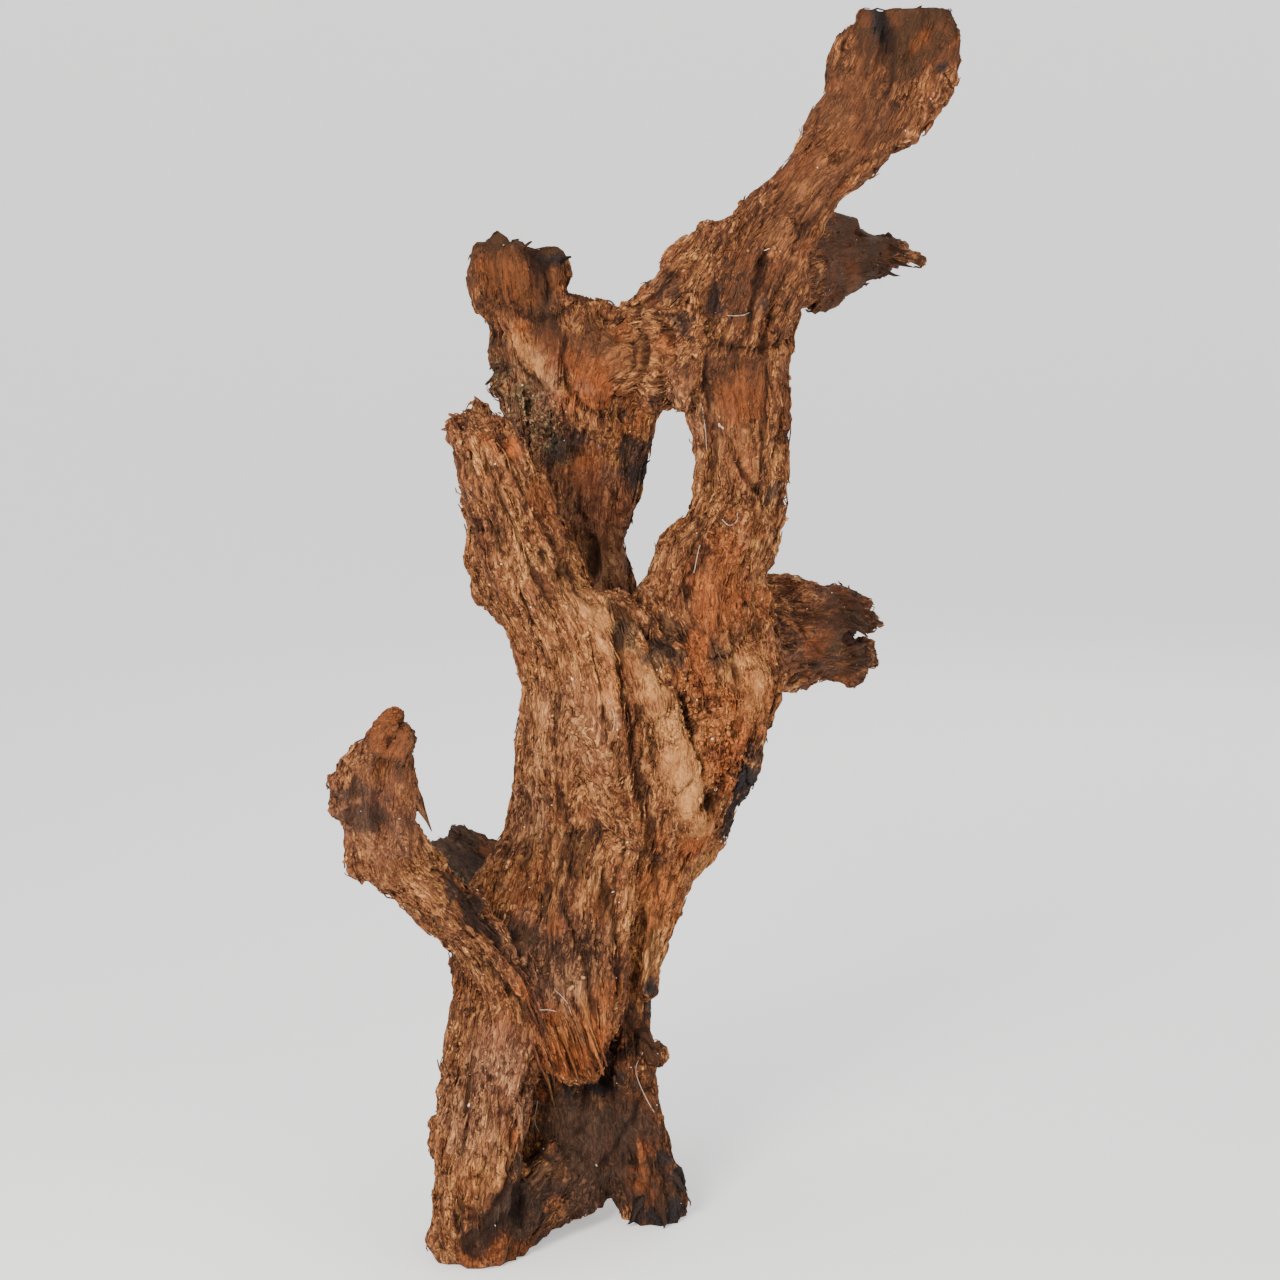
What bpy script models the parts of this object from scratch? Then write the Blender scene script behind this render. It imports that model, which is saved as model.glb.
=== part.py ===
"""A standing piece of Malaysian driftwood, 35 inches tall, grown as one solid.

The wood is a bundle of root strands that split and fuse. Each strand is a loft of oval sections
along a smooth path. All strands are fused to one skin, hollows and cracks are cut from it, the
skin is softened where strands meet, and flutes are raised on it along the grain.

A station of a strand is written as it is seen from the front: millimetres across and up on the
picture plane, millimetres behind (+) or before (-) the middle plane, and the half widths of its
section across and in depth.
"""

import math

import bpy
import bmesh
import numpy as np
from mathutils import Vector, noise

# Overall size, in metres: 35, 17.3 and 18 inches.
HEIGHT = 0.889
WIDTH = 0.440
DEPTH = 0.457

# The viewing point that the stations are sighted from.
EYE_DISTANCE = 2.2
EYE_TILT = math.radians(8.0)
PICTURE_MM = 0.001042
PICTURE_FOOT = -0.469
EYE_SIDE = -0.007

# Mesh fineness, in metres and counts.
SECTION_SIDES = 24
RING_SPACING = 0.006
FUSE_VOXEL = 0.004
SOFTEN_STEPS = 5
MOST_TRIANGLES = 11600

# Lobes round each section, as shares of its half width, and how long each runs along a strand.
LOBE_SHARE = 0.3
LOBE_TURNS = 1.5
LOBE_LENGTH = 0.11

# Each strand's ends: how far they round over and how ragged the tip is, as shares of the section.
END_REACH = 0.5
END_SHARE = 0.6
TORN_SHARE = 0.7
TORN_TURNS = 2.5

# Flutes that follow the grain.
FLUTE_DEPTH = 0.0042
FLUTE_ACROSS = 0.013
FLUTE_ALONG = 0.08
STREAK_STEPS = [step / 14 - 0.5 for step in range(15)]
LUMP_DEPTH = 0.0042
LUMP_SIZE = 0.048

# Strands: (across, up, depth, half width across, half width in depth), all in millimetres.
STRANDS = {
    "left_leg": [
        (-113, -2, -96, 24, 20), (-116, 16, -96, 27, 28), (-118, 40, -94, 31, 34),
        (-115, 85, -82, 31, 35), (-109, 130, -64, 31, 34), (-100, 180, -42, 30, 36),
        (-91, 235, -18, 36, 42), (-66, 290, 8, 37, 44), (-49, 355, 20, 38, 44),
    ],
    "left_root": [
        (-104, 24, -88, 28, 26), (-78, 46, -56, 28, 22), (-48, 66, -20, 30, 18),
    ],
    "web": [
        (-40, 48, -8, 52, 14), (-46, 80, -8, 56, 16), (-44, 120, -4, 54, 20),
        (-42, 165, 8, 46, 32), (-40, 215, 18, 48, 42),
    ],
    "right_leg": [
        (7, 12, -10, 21, 24), (7, 50, -12, 21, 26), (-4, 85, -8, 20, 24), (-13, 130, -2, 19, 24),
        (-26, 175, 8, 20, 32), (-28, 230, 16, 31, 42), (-20, 290, 18, 40, 46),
    ],
    "rear_leg": [
        (-26, 72, 172, 38, 18), (-28, 110, 146, 34, 22), (-34, 160, 108, 34, 28),
        (-38, 215, 76, 38, 38), (-36, 280, 52, 42, 44), (-26, 350, 42, 44, 44),
    ],
    "trunk": [
        (-44, 190, 12, 46, 36), (-32, 245, 14, 54, 42), (-18, 300, 14, 64, 44),
        (-4, 350, 12, 73, 44), (10, 395, 8, 82, 42), (4, 430, 6, 76, 36), (-12, 455, 0, 48, 24),
    ],
    "tongue": [
        (-46, 138, -52, 16, 8), (-48, 160, -50, 26, 14), (-48, 200, -42, 34, 22),
        (-46, 250, -32, 36, 22), (-42, 310, -24, 32, 22), (-38, 370, -22, 28, 22),
        (-30, 420, -24, 30, 22), (-26, 455, -30, 28, 16), (-28, 470, -34, 18, 9),
    ],
    "left_limb": [
        (-42, 300, 6, 38, 38), (-45, 360, -2, 38, 38), (-48, 410, -12, 38, 36),
        (-60, 450, -24, 37, 34), (-79, 486, -42, 36, 32), (-89, 525, -64, 33, 30),
        (-101, 556, -84, 27, 27), (-113, 581, -98, 24, 24), (-120, 594, -104, 19, 18),
    ],
    "front_right": [
        (2, 250, 8, 22, 30), (14, 310, 2, 28, 36), (30, 358, -4, 37, 36),
        (39, 400, -8, 42, 34), (36, 422, -12, 36, 24), (22, 438, -20, 24, 12),
    ],
    "right_column": [
        (6, 240, 22, 13, 30), (22, 290, 22, 19, 36), (38, 335, 20, 31, 42), (48, 378, 16, 37, 44),
        (54, 420, 12, 41, 38), (43, 455, 8, 41, 32), (45, 488, 6, 39, 30), (63, 524, 8, 31, 28),
        (66, 560, 10, 30, 26), (67, 600, 10, 32, 26), (64, 640, 12, 37, 28), (60, 675, 14, 43, 28),
    ],
    "antler": [
        (60, 650, 12, 42, 26), (73, 697, 6, 42, 24), (90, 727, -2, 34, 21), (109, 750, -8, 26, 18),
        (124, 772, -16, 23, 16), (138, 789, -22, 31, 15), (156, 809, -30, 40, 14),
        (170, 830, -36, 43, 13), (179, 850, -40, 40, 13), (186, 868, -43, 37, 13),
        (189, 892, -45, 35, 12),
    ],
    "fork_web": [
        (-10, 666, 34, 14, 16), (12, 680, 26, 20, 18), (36, 698, 14, 22, 18), (56, 720, 6, 19, 16),
    ],
    "burl_mass": [
        (-14, 300, 42, 40, 34), (-18, 350, 54, 40, 34), (-22, 400, 66, 40, 34),
        (-30, 440, 72, 40, 30), (-40, 480, 76, 34, 24), (-44, 515, 74, 29, 22),
        (-38, 550, 66, 42, 24), (-41, 590, 58, 49, 28), (-43, 620, 50, 56, 32),
        (-43, 645, 46, 54, 32), (-40, 665, 46, 46, 28),
    ],
    "stump": [
        (-72, 605, 54, 24, 22), (-76, 640, 50, 27, 24), (-80, 670, 49, 26, 24),
        (-83, 688, 50, 38, 22), (-87, 702, 51, 41, 20), (-85, 714, 53, 39, 17),
    ],
    "bridge": [
        (-30, 638, 44, 36, 26), (0, 642, 36, 38, 24), (30, 650, 26, 40, 24), (60, 660, 18, 40, 24),
    ],
    "thumb": [
        (24, 614, -2, 8, 8), (30, 628, -4, 13, 12), (44, 646, -2, 15, 14), (60, 656, 6, 14, 14),
    ],
    "curl": [
        (-4, 668, 14, 7, 8), (12, 664, 8, 8, 9), (20, 648, 6, 8, 9), (13, 628, 12, 8, 8),
        (4, 612, 22, 7, 8),
    ],
    "paddle": [
        (-54, 142, -58, 9, 9), (-70, 170, -62, 14, 14), (-92, 200, -64, 18, 18),
        (-118, 234, -76, 20, 19), (-146, 262, -106, 21, 16), (-177, 290, -144, 32, 13),
        (-186, 315, -174, 35, 12), (-183, 341, -196, 30, 11), (-177, 365, -211, 24, 10),
        (-169, 382, -218, 15, 8),
    ],
    "rear_cup": [
        (-76, 240, 44, 34, 24), (-104, 264, 70, 32, 20), (-124, 284, 90, 25, 16),
        (-141, 298, 100, 21, 11),
    ],
    "rear_branch": [
        (80, 694, 20, 34, 22), (112, 710, 62, 34, 18), (137, 716, 110, 29, 13),
        (160, 716, 160, 17, 9), (179, 712, 202, 11, 6), (194, 706, 224, 4, 3),
    ],
    "right_stub": [
        (60, 440, 44, 44, 36), (92, 444, 84, 41, 28), (118, 446, 122, 34, 20),
        (138, 442, 146, 26, 14),
    ],
    "upper_prong": [
        (112, 466, 116, 19, 14), (142, 462, 148, 14, 10), (163, 455, 172, 5, 5),
    ],
    "lower_prong": [
        (112, 430, 116, 20, 16), (142, 430, 152, 15, 12), (158, 434, 172, 10, 8),
    ],
    "light_ridge": [
        (-2, 430, -34, 9, 8), (8, 400, -40, 12, 12), (20, 370, -42, 13, 12), (28, 340, -38, 12, 11),
        (36, 312, -30, 9, 9),
    ],
    "rim": [
        (-46, 476, -36, 6, 8), (-30, 470, -40, 7, 8), (-12, 460, -40, 8, 8), (4, 446, -38, 8, 8),
        (20, 436, -34, 8, 8), (34, 428, -28, 8, 8),
    ],
    "left_flange": [
        (-104, 128, -58, 60, 14), (-92, 134, 0, 62, 13), (-72, 146, 60, 58, 14),
        (-50, 156, 110, 40, 16),
    ],
    "right_flange": [
        (-10, 138, 4, 44, 12), (-16, 152, 56, 48, 13), (-28, 160, 108, 34, 16),
    ],
    "centre_ridge": [
        (-32, 152, -56, 8, 8), (-24, 220, -46, 8, 9), (-16, 290, -38, 8, 10), (-14, 350, -36, 8, 10),
        (-22, 410, -40, 8, 9), (-32, 452, -44, 7, 8),
    ],
    "limb_ridge": [
        (-66, 250, -26, 7, 9), (-66, 310, -26, 8, 9), (-62, 370, -32, 8, 9), (-66, 425, -44, 8, 9),
        (-84, 480, -68, 8, 9), (-98, 535, -92, 8, 9), (-110, 575, -112, 7, 8),
    ],
    "side_ridge": [
        (0, 196, -16, 6, 8), (10, 250, -22, 7, 8), (26, 300, -26, 8, 8), (48, 350, -28, 9, 8),
        (62, 395, -30, 8, 8),
    ],
    "limb_knob": [
        (-110, 574, -94, 20, 18), (-127, 586, -104, 15, 14), (-134, 591, -110, 11, 9),
    ],
    "antler_corner": [
        (186, 862, -42, 20, 9), (200, 876, -44, 12, 8), (206, 888, -45, 9, 7),
    ],
    "waist_knob": [
        (-18, 162, -8, 12, 14), (-2, 157, -12, 12, 12), (11, 151, -14, 7, 7),
    ],
    "side_thorn": [
        (-84, 628, 50, 17, 10), (-103, 626, 48, 10, 7),
    ],
}

# Hollows: centre (across, up, depth) and half sizes (across, up, depth), in millimetres.
HOLLOWS = {
    "antler_notch": ((172, 890, -58), (6, 20, 18)),
    "stump_notch": ((-77, 732, 50), (7, 14, 30)),
}

# Cracks and scoops: stations (across, up, depth, half width across, half width in depth), in millimetres.
CRACKS = {
    "antler_crack": [(91, 724, -24, 2, 6), (84, 690, -20, 4, 9), (75, 652, -18, 3, 8)],
    "paddle_cup": [
        (-182, 296, -166, 14, 9), (-189, 318, -188, 19, 10), (-187, 340, -208, 17, 10),
        (-183, 356, -220, 10, 8),
    ],
    "ridge_crack": [
        (-8, 438, -48, 3, 8), (-13, 410, -50, 3, 9), (-4, 375, -50, 3, 9), (6, 330, -46, 3, 9),
        (12, 292, -38, 3, 8),
    ],
}


def sighted(across, up, depth):
    """The point in metres at this depth that is seen at (across, up) on the picture plane."""
    ahead = Vector((0.0, math.cos(EYE_TILT), -math.sin(EYE_TILT)))
    above = Vector((0.0, math.sin(EYE_TILT), math.cos(EYE_TILT)))
    eye = Vector((EYE_SIDE, 0.0, HEIGHT / 2)) - EYE_DISTANCE * ahead
    ray = (
        EYE_DISTANCE * ahead
        + across * PICTURE_MM * Vector((1.0, 0.0, 0.0))
        + (PICTURE_FOOT + up * PICTURE_MM) * above
    )
    reach = (depth / 1000.0 - eye.y) / ray.y
    return eye + reach * ray, reach * PICTURE_MM


def smooth_rows(rows, spacing):
    """Rows of numbers through the given ones, on Catmull-Rom curves, about spacing apart."""
    rows = np.array(rows, float)
    padded = np.vstack([2 * rows[0] - rows[1], rows, 2 * rows[-1] - rows[-2]])
    made = []
    for i in range(1, len(padded) - 2):
        p0, p1, p2, p3 = padded[i - 1 : i + 3]
        count = max(2, int(np.linalg.norm(p2[:3] - p1[:3]) / spacing))
        for t in np.arange(count) / count:
            made.append(
                0.5 * (2 * p1 + (p2 - p0) * t + (2 * p0 - 5 * p1 + 4 * p2 - p3) * t**2
                       + (3 * p1 - p0 - 3 * p2 + p3) * t**3)
            )
    made.append(padded[-2])
    return np.array(made)


def strand_rows(stations):
    """Smooth rows (x, y, z, half across, half depth) in metres along a strand."""
    rows = []
    for across, up, depth, half_across, half_depth in stations:
        point, scale = sighted(across, up, depth)
        rows.append((*point, half_across * scale, half_depth / 1000.0))
    return smooth_rows(rows, RING_SPACING)


def unit(vector):
    return vector / np.linalg.norm(vector)


def lobe(angle, length, seed):
    """How far a section swells at this angle and length along its strand, as a factor near 1."""
    place = (math.cos(angle) * LOBE_TURNS, math.sin(angle) * LOBE_TURNS, length / LOBE_LENGTH + seed)
    return 1.0 + LOBE_SHARE * noise.noise(place)


def loft(name, rows, collection):
    """A closed tube of oval sections along the rows, with a shrunk ring rounding each end."""
    path, halves = rows[:, :3], rows[:, 3:]
    along = np.gradient(path, axis=0)
    along /= np.linalg.norm(along, axis=1, keepdims=True)
    across = np.cross(along, (0.0, 1.0, 0.0))
    across /= np.linalg.norm(across, axis=1, keepdims=True)
    behind = np.cross(across, along)
    foot = path[0] - along[0] * halves[0, 1] * END_REACH
    tip = path[-1] + along[-1] * halves[-1, 1] * END_REACH
    path = np.vstack([foot, path, tip])
    halves = np.vstack([halves[0] * END_SHARE, halves, halves[-1] * END_SHARE])
    across = np.vstack([across[0], across, across[-1]])
    behind = np.vstack([behind[0], behind, behind[-1]])
    turn = np.arange(SECTION_SIDES) * 2 * math.pi / SECTION_SIDES
    count = len(path)
    run = np.append(0.0, np.cumsum(np.linalg.norm(np.diff(path, axis=0), axis=1)))
    swell = np.array([
        [lobe(angle, length, len(name) + 10.0 * path[0, 0]) for angle in turn] for length in run
    ])
    rings = (
        path[:, None, :]
        + across[:, None, :] * (halves[:, 0, None] * np.cos(turn) * swell)[:, :, None]
        + behind[:, None, :] * (halves[:, 1, None] * np.sin(turn) * swell)[:, :, None]
    )
    torn = np.array([
        noise.noise((math.cos(angle) * TORN_TURNS, math.sin(angle) * TORN_TURNS, len(name)))
        for angle in turn
    ])
    rings[-1] += np.outer(torn * TORN_SHARE * halves[-1, 1], unit(path[-1] - path[-2]))
    ring = np.arange(SECTION_SIDES)
    after = np.roll(ring, -1)
    faces = [tuple(ring[::-1]), tuple((count - 1) * SECTION_SIDES + ring)]
    for i in range(count - 1):
        low, high = i * SECTION_SIDES, (i + 1) * SECTION_SIDES
        faces += list(zip(low + ring, low + after, high + after, high + ring))
    mesh = bpy.data.meshes.new(name)
    mesh.from_pydata(rings.reshape(-1, 3).tolist(), [], [tuple(map(int, f)) for f in faces])
    outward(mesh)
    made = bpy.data.objects.new(name, mesh)
    collection.objects.link(made)
    return made


def outward(mesh):
    """Turns every face of a closed mesh to point out."""
    cage = bmesh.new()
    cage.from_mesh(mesh)
    bmesh.ops.recalc_face_normals(cage, faces=cage.faces)
    cage.to_mesh(mesh)
    cage.free()


def hollow(name, centre, halves, collection):
    """An egg-shaped cutter."""
    point, scale = sighted(*centre)
    cage = bmesh.new()
    bmesh.ops.create_uvsphere(cage, u_segments=20, v_segments=14, radius=1.0)
    bmesh.ops.scale(cage, vec=(halves[0] * scale, halves[2] / 1000.0, halves[1] * scale), verts=cage.verts)
    bmesh.ops.translate(cage, vec=point, verts=cage.verts)
    mesh = bpy.data.meshes.new(name)
    cage.to_mesh(mesh)
    cage.free()
    made = bpy.data.objects.new(name, mesh)
    collection.objects.link(made)
    return made


def new_collection(name):
    made = bpy.data.collections.new(name)
    bpy.context.scene.collection.children.link(made)
    return made


def evaluated_mesh(obj):
    """The object's mesh with its modifiers applied."""
    bpy.context.view_layer.update()
    graph = bpy.context.evaluated_depsgraph_get()
    return bpy.data.meshes.new_from_object(obj.evaluated_get(graph))


def fused(strands, hollows, collection):
    """One skin round all strands, with the hollows cut from it and its creases softened."""
    cage = bmesh.new()
    for strand in strands:
        cage.from_mesh(strand.data)
    mesh = bpy.data.meshes.new("driftwood")
    cage.to_mesh(mesh)
    cage.free()
    wood = bpy.data.objects.new("driftwood", mesh)
    collection.objects.link(wood)
    fuse = wood.modifiers.new("fuse", "REMESH")
    fuse.mode = "VOXEL"
    fuse.voxel_size = FUSE_VOXEL
    for cutter in hollows:
        cut = wood.modifiers.new("cut", "BOOLEAN")
        cut.operation = "DIFFERENCE"
        cut.object = cutter
    again = wood.modifiers.new("fuse again", "REMESH")
    again.mode = "VOXEL"
    again.voxel_size = FUSE_VOXEL
    soften = wood.modifiers.new("soften", "LAPLACIANSMOOTH")
    soften.iterations = SOFTEN_STEPS
    soften.lambda_factor = 0.35
    soften.use_volume_preserve = True
    wood.data = evaluated_mesh(wood)
    wood.modifiers.clear()
    return wood


def points_of(mesh):
    flat = np.empty(len(mesh.vertices) * 3)
    mesh.vertices.foreach_get("co", flat)
    return flat.reshape(-1, 3)


def normals_of(mesh):
    flat = np.empty(len(mesh.vertices) * 3)
    mesh.vertex_normals.foreach_get("vector", flat)
    return flat.reshape(-1, 3)


def grain_at(points, lines):
    """Unit grain direction at each point: the strand tangents, weighted by nearness squared."""
    places = np.vstack([rows[:, :3] for rows in lines])
    tangents = np.vstack([np.gradient(rows[:, :3], axis=0) for rows in lines])
    tangents /= np.linalg.norm(tangents, axis=1, keepdims=True)
    reach = np.concatenate([rows[:, 3:].mean(axis=1) for rows in lines])
    grain = np.empty_like(points)
    for i in range(0, len(points), 2000):
        apart = np.linalg.norm(points[i : i + 2000, None, :] - places[None], axis=2) / reach
        weight = np.exp(-3.0 * apart**2) + 1e-12
        grain[i : i + 2000] = weight @ tangents
    return grain / np.linalg.norm(grain, axis=1, keepdims=True)


def streak(point, grain):
    """Noise that is fine across the grain and long along it: its mean over a short run of grain."""
    return sum(
        noise.noise((point + grain * step * FLUTE_ALONG) / FLUTE_ACROSS) for step in STREAK_STEPS
    )


def raise_flutes(wood, lines):
    """Moves every point of the skin along its normal by flutes along the grain and broad lumps."""
    mesh = wood.data
    points, normals = points_of(mesh), normals_of(mesh)
    grain = grain_at(points, lines)
    flutes = np.array([streak(Vector(p), Vector(g)) for p, g in zip(points, grain)])
    lumps = np.array([noise.noise(Vector(p) / LUMP_SIZE) for p in points])
    rise = FLUTE_DEPTH * np.tanh(flutes / flutes.std()) + LUMP_DEPTH * lumps
    mesh.vertices.foreach_set("co", (points + normals * rise[:, None]).ravel())
    mesh.update()


def trim(wood, height, outward_z):
    """Cuts the wood level at this height and drops what lies beyond it."""
    cage = bmesh.new()
    cage.from_mesh(wood.data)
    cut = bmesh.ops.bisect_plane(
        cage, geom=cage.verts[:] + cage.edges[:] + cage.faces[:], plane_co=(0, 0, height),
        plane_no=(0, 0, outward_z), clear_outer=True, dist=1e-6,
    )
    rim = [e for e in cut["geom_cut"] if isinstance(e, bmesh.types.BMEdge)]
    bmesh.ops.holes_fill(cage, edges=rim)
    bmesh.ops.triangulate(cage, faces=cage.faces)
    cage.to_mesh(wood.data)
    cage.free()


def stand(wood):
    """Trims the feet and the tip level, then centres the wood and brings it to its exact size."""
    trim(wood, 0.0, -1)
    trim(wood, HEIGHT, 1)
    points = points_of(wood.data)
    low, high = points.min(axis=0), points.max(axis=0)
    middle = (low + high) / 2
    scale = np.array([WIDTH, DEPTH, HEIGHT]) / (high - low)
    points = (points - (middle[0], middle[1], 0.0)) * scale
    wood.data.vertices.foreach_set("co", points.ravel())
    wood.data.update()


def thin_out(wood):
    """Collapses the skin's flat stretches until it has few enough triangles."""
    count = sum(len(p.vertices) - 2 for p in wood.data.polygons)
    thin = wood.modifiers.new("thin out", "DECIMATE")
    thin.ratio = min(1.0, MOST_TRIANGLES / count)
    wood.data = evaluated_mesh(wood)
    wood.modifiers.clear()


def wood_material():
    made = bpy.data.materials.new("weathered_wood")
    made.use_nodes = True
    shader = made.node_tree.nodes["Principled BSDF"]
    shader.inputs["Base Color"].default_value = (0.27, 0.12, 0.055, 1.0)
    shader.inputs["Roughness"].default_value = 0.85
    shader.inputs["Metallic"].default_value = 0.0
    return made


def main():
    for obj in list(bpy.data.objects):
        bpy.data.objects.remove(obj, do_unlink=True)
    parts = new_collection("driftwood")
    helpers = new_collection("strands and cutters")
    lines = [strand_rows(stations) for stations in STRANDS.values()]
    strands = [loft(name, rows, helpers) for name, rows in zip(STRANDS, lines)]
    cutters = [hollow(name, *sizes, helpers) for name, sizes in HOLLOWS.items()]
    cutters += [loft(name, strand_rows(stations), helpers) for name, stations in CRACKS.items()]
    wood = fused(strands, cutters, parts)
    for helper in strands + cutters:
        bpy.data.objects.remove(helper)
    raise_flutes(wood, lines)
    thin_out(wood)
    stand(wood)
    wood.data.materials.clear()
    wood.data.materials.append(wood_material())
    wood.data.shade_smooth()


main()
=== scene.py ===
"""The looks of a standing piece of driftwood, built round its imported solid.

The solid gives the form. A fine skin is grown on it, with furrows, splits, cracks, rings and torn edges
that follow the grain. Loose fibres, splinters, crumbs, grit and dry rootlets lie on the skin.

A place on the wood is written as it is seen from the front: millimetres across and up on the picture
plane, and millimetres behind (+) or before (-) the middle plane.
"""

import itertools
import math

import bmesh
import bpy
import numpy as np
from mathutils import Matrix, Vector
from mathutils.bvhtree import BVHTree


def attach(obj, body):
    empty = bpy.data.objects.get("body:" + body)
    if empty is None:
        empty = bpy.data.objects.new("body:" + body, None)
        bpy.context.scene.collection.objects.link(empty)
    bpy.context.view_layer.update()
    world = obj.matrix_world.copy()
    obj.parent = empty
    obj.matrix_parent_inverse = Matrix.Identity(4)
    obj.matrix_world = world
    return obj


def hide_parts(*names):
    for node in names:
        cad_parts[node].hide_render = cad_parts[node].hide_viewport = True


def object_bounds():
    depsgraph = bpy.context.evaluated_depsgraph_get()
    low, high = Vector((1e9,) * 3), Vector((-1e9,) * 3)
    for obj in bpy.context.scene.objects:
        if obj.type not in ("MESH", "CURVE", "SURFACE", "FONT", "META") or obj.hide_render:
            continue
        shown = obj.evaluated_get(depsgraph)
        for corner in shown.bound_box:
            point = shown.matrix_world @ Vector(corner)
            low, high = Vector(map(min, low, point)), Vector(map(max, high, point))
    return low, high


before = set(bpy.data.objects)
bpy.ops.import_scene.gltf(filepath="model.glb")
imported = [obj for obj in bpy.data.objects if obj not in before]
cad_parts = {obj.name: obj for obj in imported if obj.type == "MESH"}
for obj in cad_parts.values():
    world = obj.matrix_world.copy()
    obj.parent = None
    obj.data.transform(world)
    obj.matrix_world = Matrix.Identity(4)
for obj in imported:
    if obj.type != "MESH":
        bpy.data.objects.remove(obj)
SOLID_BOX = [[float(v) for v in corner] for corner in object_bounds()]

bl_info = {
    "name": "Weathered driftwood",
    "version": (1, 0, 0),
    "blender": (4, 5, 0),
    "location": "3D View > Sidebar > Driftwood",
    "description": "Dresses a solid piece of driftwood with grain, cracks, fibres and grit",
    "category": "Mesh",
}

# The viewing point, and the picture plane that places are read on.
EYE_DISTANCE = 2.2
EYE_TILT = math.radians(8.0)
EYE_SIDE = -0.008
EYE_HEIGHT = 0.4445
PICTURE_MM = 0.001042
PICTURE_FOOT = -0.469
PICTURE_SPAN = 901.6
PICTURE_MIDDLE = 442.4
SENSOR_MM = 36.0
MM_PER_M = 1000.0
ACROSS = np.array([1.0, 0.0, 0.0])
AHEAD = np.array([0.0, math.cos(EYE_TILT), -math.sin(EYE_TILT)])
ABOVE = np.array([0.0, math.sin(EYE_TILT), math.cos(EYE_TILT)])
EYE = np.array([EYE_SIDE, 0.0, EYE_HEIGHT]) - EYE_DISTANCE * AHEAD

# Grain lines: (across, up, depth, reach), in millimetres. The grain near a line runs along it.
GRAIN_LINES = {
    "left_leg": [(-113, -2, -96, 22), (-118, 40, -94, 32), (-109, 130, -64, 32), (-91, 235, -18, 39),
                 (-49, 355, 20, 41)],
    "left_root": [(-118, 0, -88, 26), (-78, 46, -56, 24), (-40, 74, -20, 22)],
    "right_leg": [(7, 12, -10, 23), (7, 50, -12, 23), (-13, 130, -2, 22), (-28, 230, 16, 36),
                  (-20, 290, 18, 43)],
    "web": [(-40, 30, -8, 30), (-46, 80, -8, 36), (-44, 120, -4, 36), (-40, 215, 18, 44)],
    "rear_leg": [(-26, 72, 172, 26), (-34, 160, 108, 31), (-36, 280, 52, 43), (-26, 350, 42, 44)],
    "trunk": [(-44, 190, 12, 41), (-18, 300, 14, 54), (10, 395, 8, 62), (-12, 455, 0, 36)],
    "tongue": [(-38, 126, -52, 14), (-54, 162, -50, 22), (-58, 205, -42, 26), (-58, 250, -32, 29),
               (-62, 310, -24, 27), (-66, 370, -22, 25), (-62, 430, -30, 25)],
    "trunk_fan": [(-60, 398, -46, 12), (-42, 362, -48, 18), (-24, 328, -46, 18), (-10, 302, -44, 12)],
    "left_limb": [(-42, 300, 6, 38), (-48, 410, -12, 37), (-79, 486, -42, 34), (-101, 556, -84, 27),
                  (-120, 604, -108, 18)],
    "front_right": [(2, 250, 8, 26), (30, 358, -4, 36), (36, 422, -12, 30), (16, 448, -22, 18)],
    "light_ridge": [(40, 300, -34, 13), (28, 340, -40, 14), (10, 395, -42, 14), (-6, 436, -36, 12)],
    "right_column": [(22, 290, 22, 28), (48, 378, 16, 40), (45, 488, 6, 34), (66, 560, 10, 28),
                     (60, 675, 14, 35)],
    "antler": [(60, 650, 12, 34), (90, 727, -2, 28), (124, 772, -16, 20), (156, 809, -30, 27),
               (189, 892, -45, 24)],
    "fork_web": [(-10, 666, 34, 15), (36, 698, 14, 20), (56, 720, 6, 18)],
    "burl_mass": [(-14, 300, 42, 37), (-30, 440, 72, 35), (-44, 515, 74, 26), (-41, 590, 58, 38),
                  (-40, 665, 46, 37)],
    "stump": [(-66, 605, 54, 23), (-76, 650, 50, 26), (-85, 722, 53, 28)],
    "bridge": [(-30, 638, 44, 31), (0, 642, 36, 31), (60, 660, 18, 32)],
    "curl": [(-4, 668, 14, 9), (14, 664, 8, 9), (20, 648, 6, 9), (13, 628, 12, 8), (4, 612, 22, 8)],
    "paddle": [(-54, 142, -58, 9), (-92, 200, -64, 18), (-146, 262, -106, 19), (-177, 290, -144, 22),
               (-183, 341, -196, 20), (-168, 384, -219, 10)],
    "rear_cup": [(-76, 240, 44, 29), (-124, 284, 90, 20), (-145, 300, 104, 13)],
    "rear_branch": [(80, 694, 20, 28), (137, 716, 110, 20), (194, 706, 224, 6)],
    "right_stub": [(60, 440, 44, 40), (118, 446, 122, 28), (160, 446, 172, 14)],
    "left_flange": [(-104, 128, -58, 30), (-72, 146, 60, 30), (-50, 156, 110, 24)],
    "right_flange": [(-10, 138, 4, 24), (-28, 160, 108, 22)],
}
GRAIN_SPACING = 0.008
# How much shorter the grain is in the unrolled places that streak patterns are read in.
GRAIN_SHARE = 0.17

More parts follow.
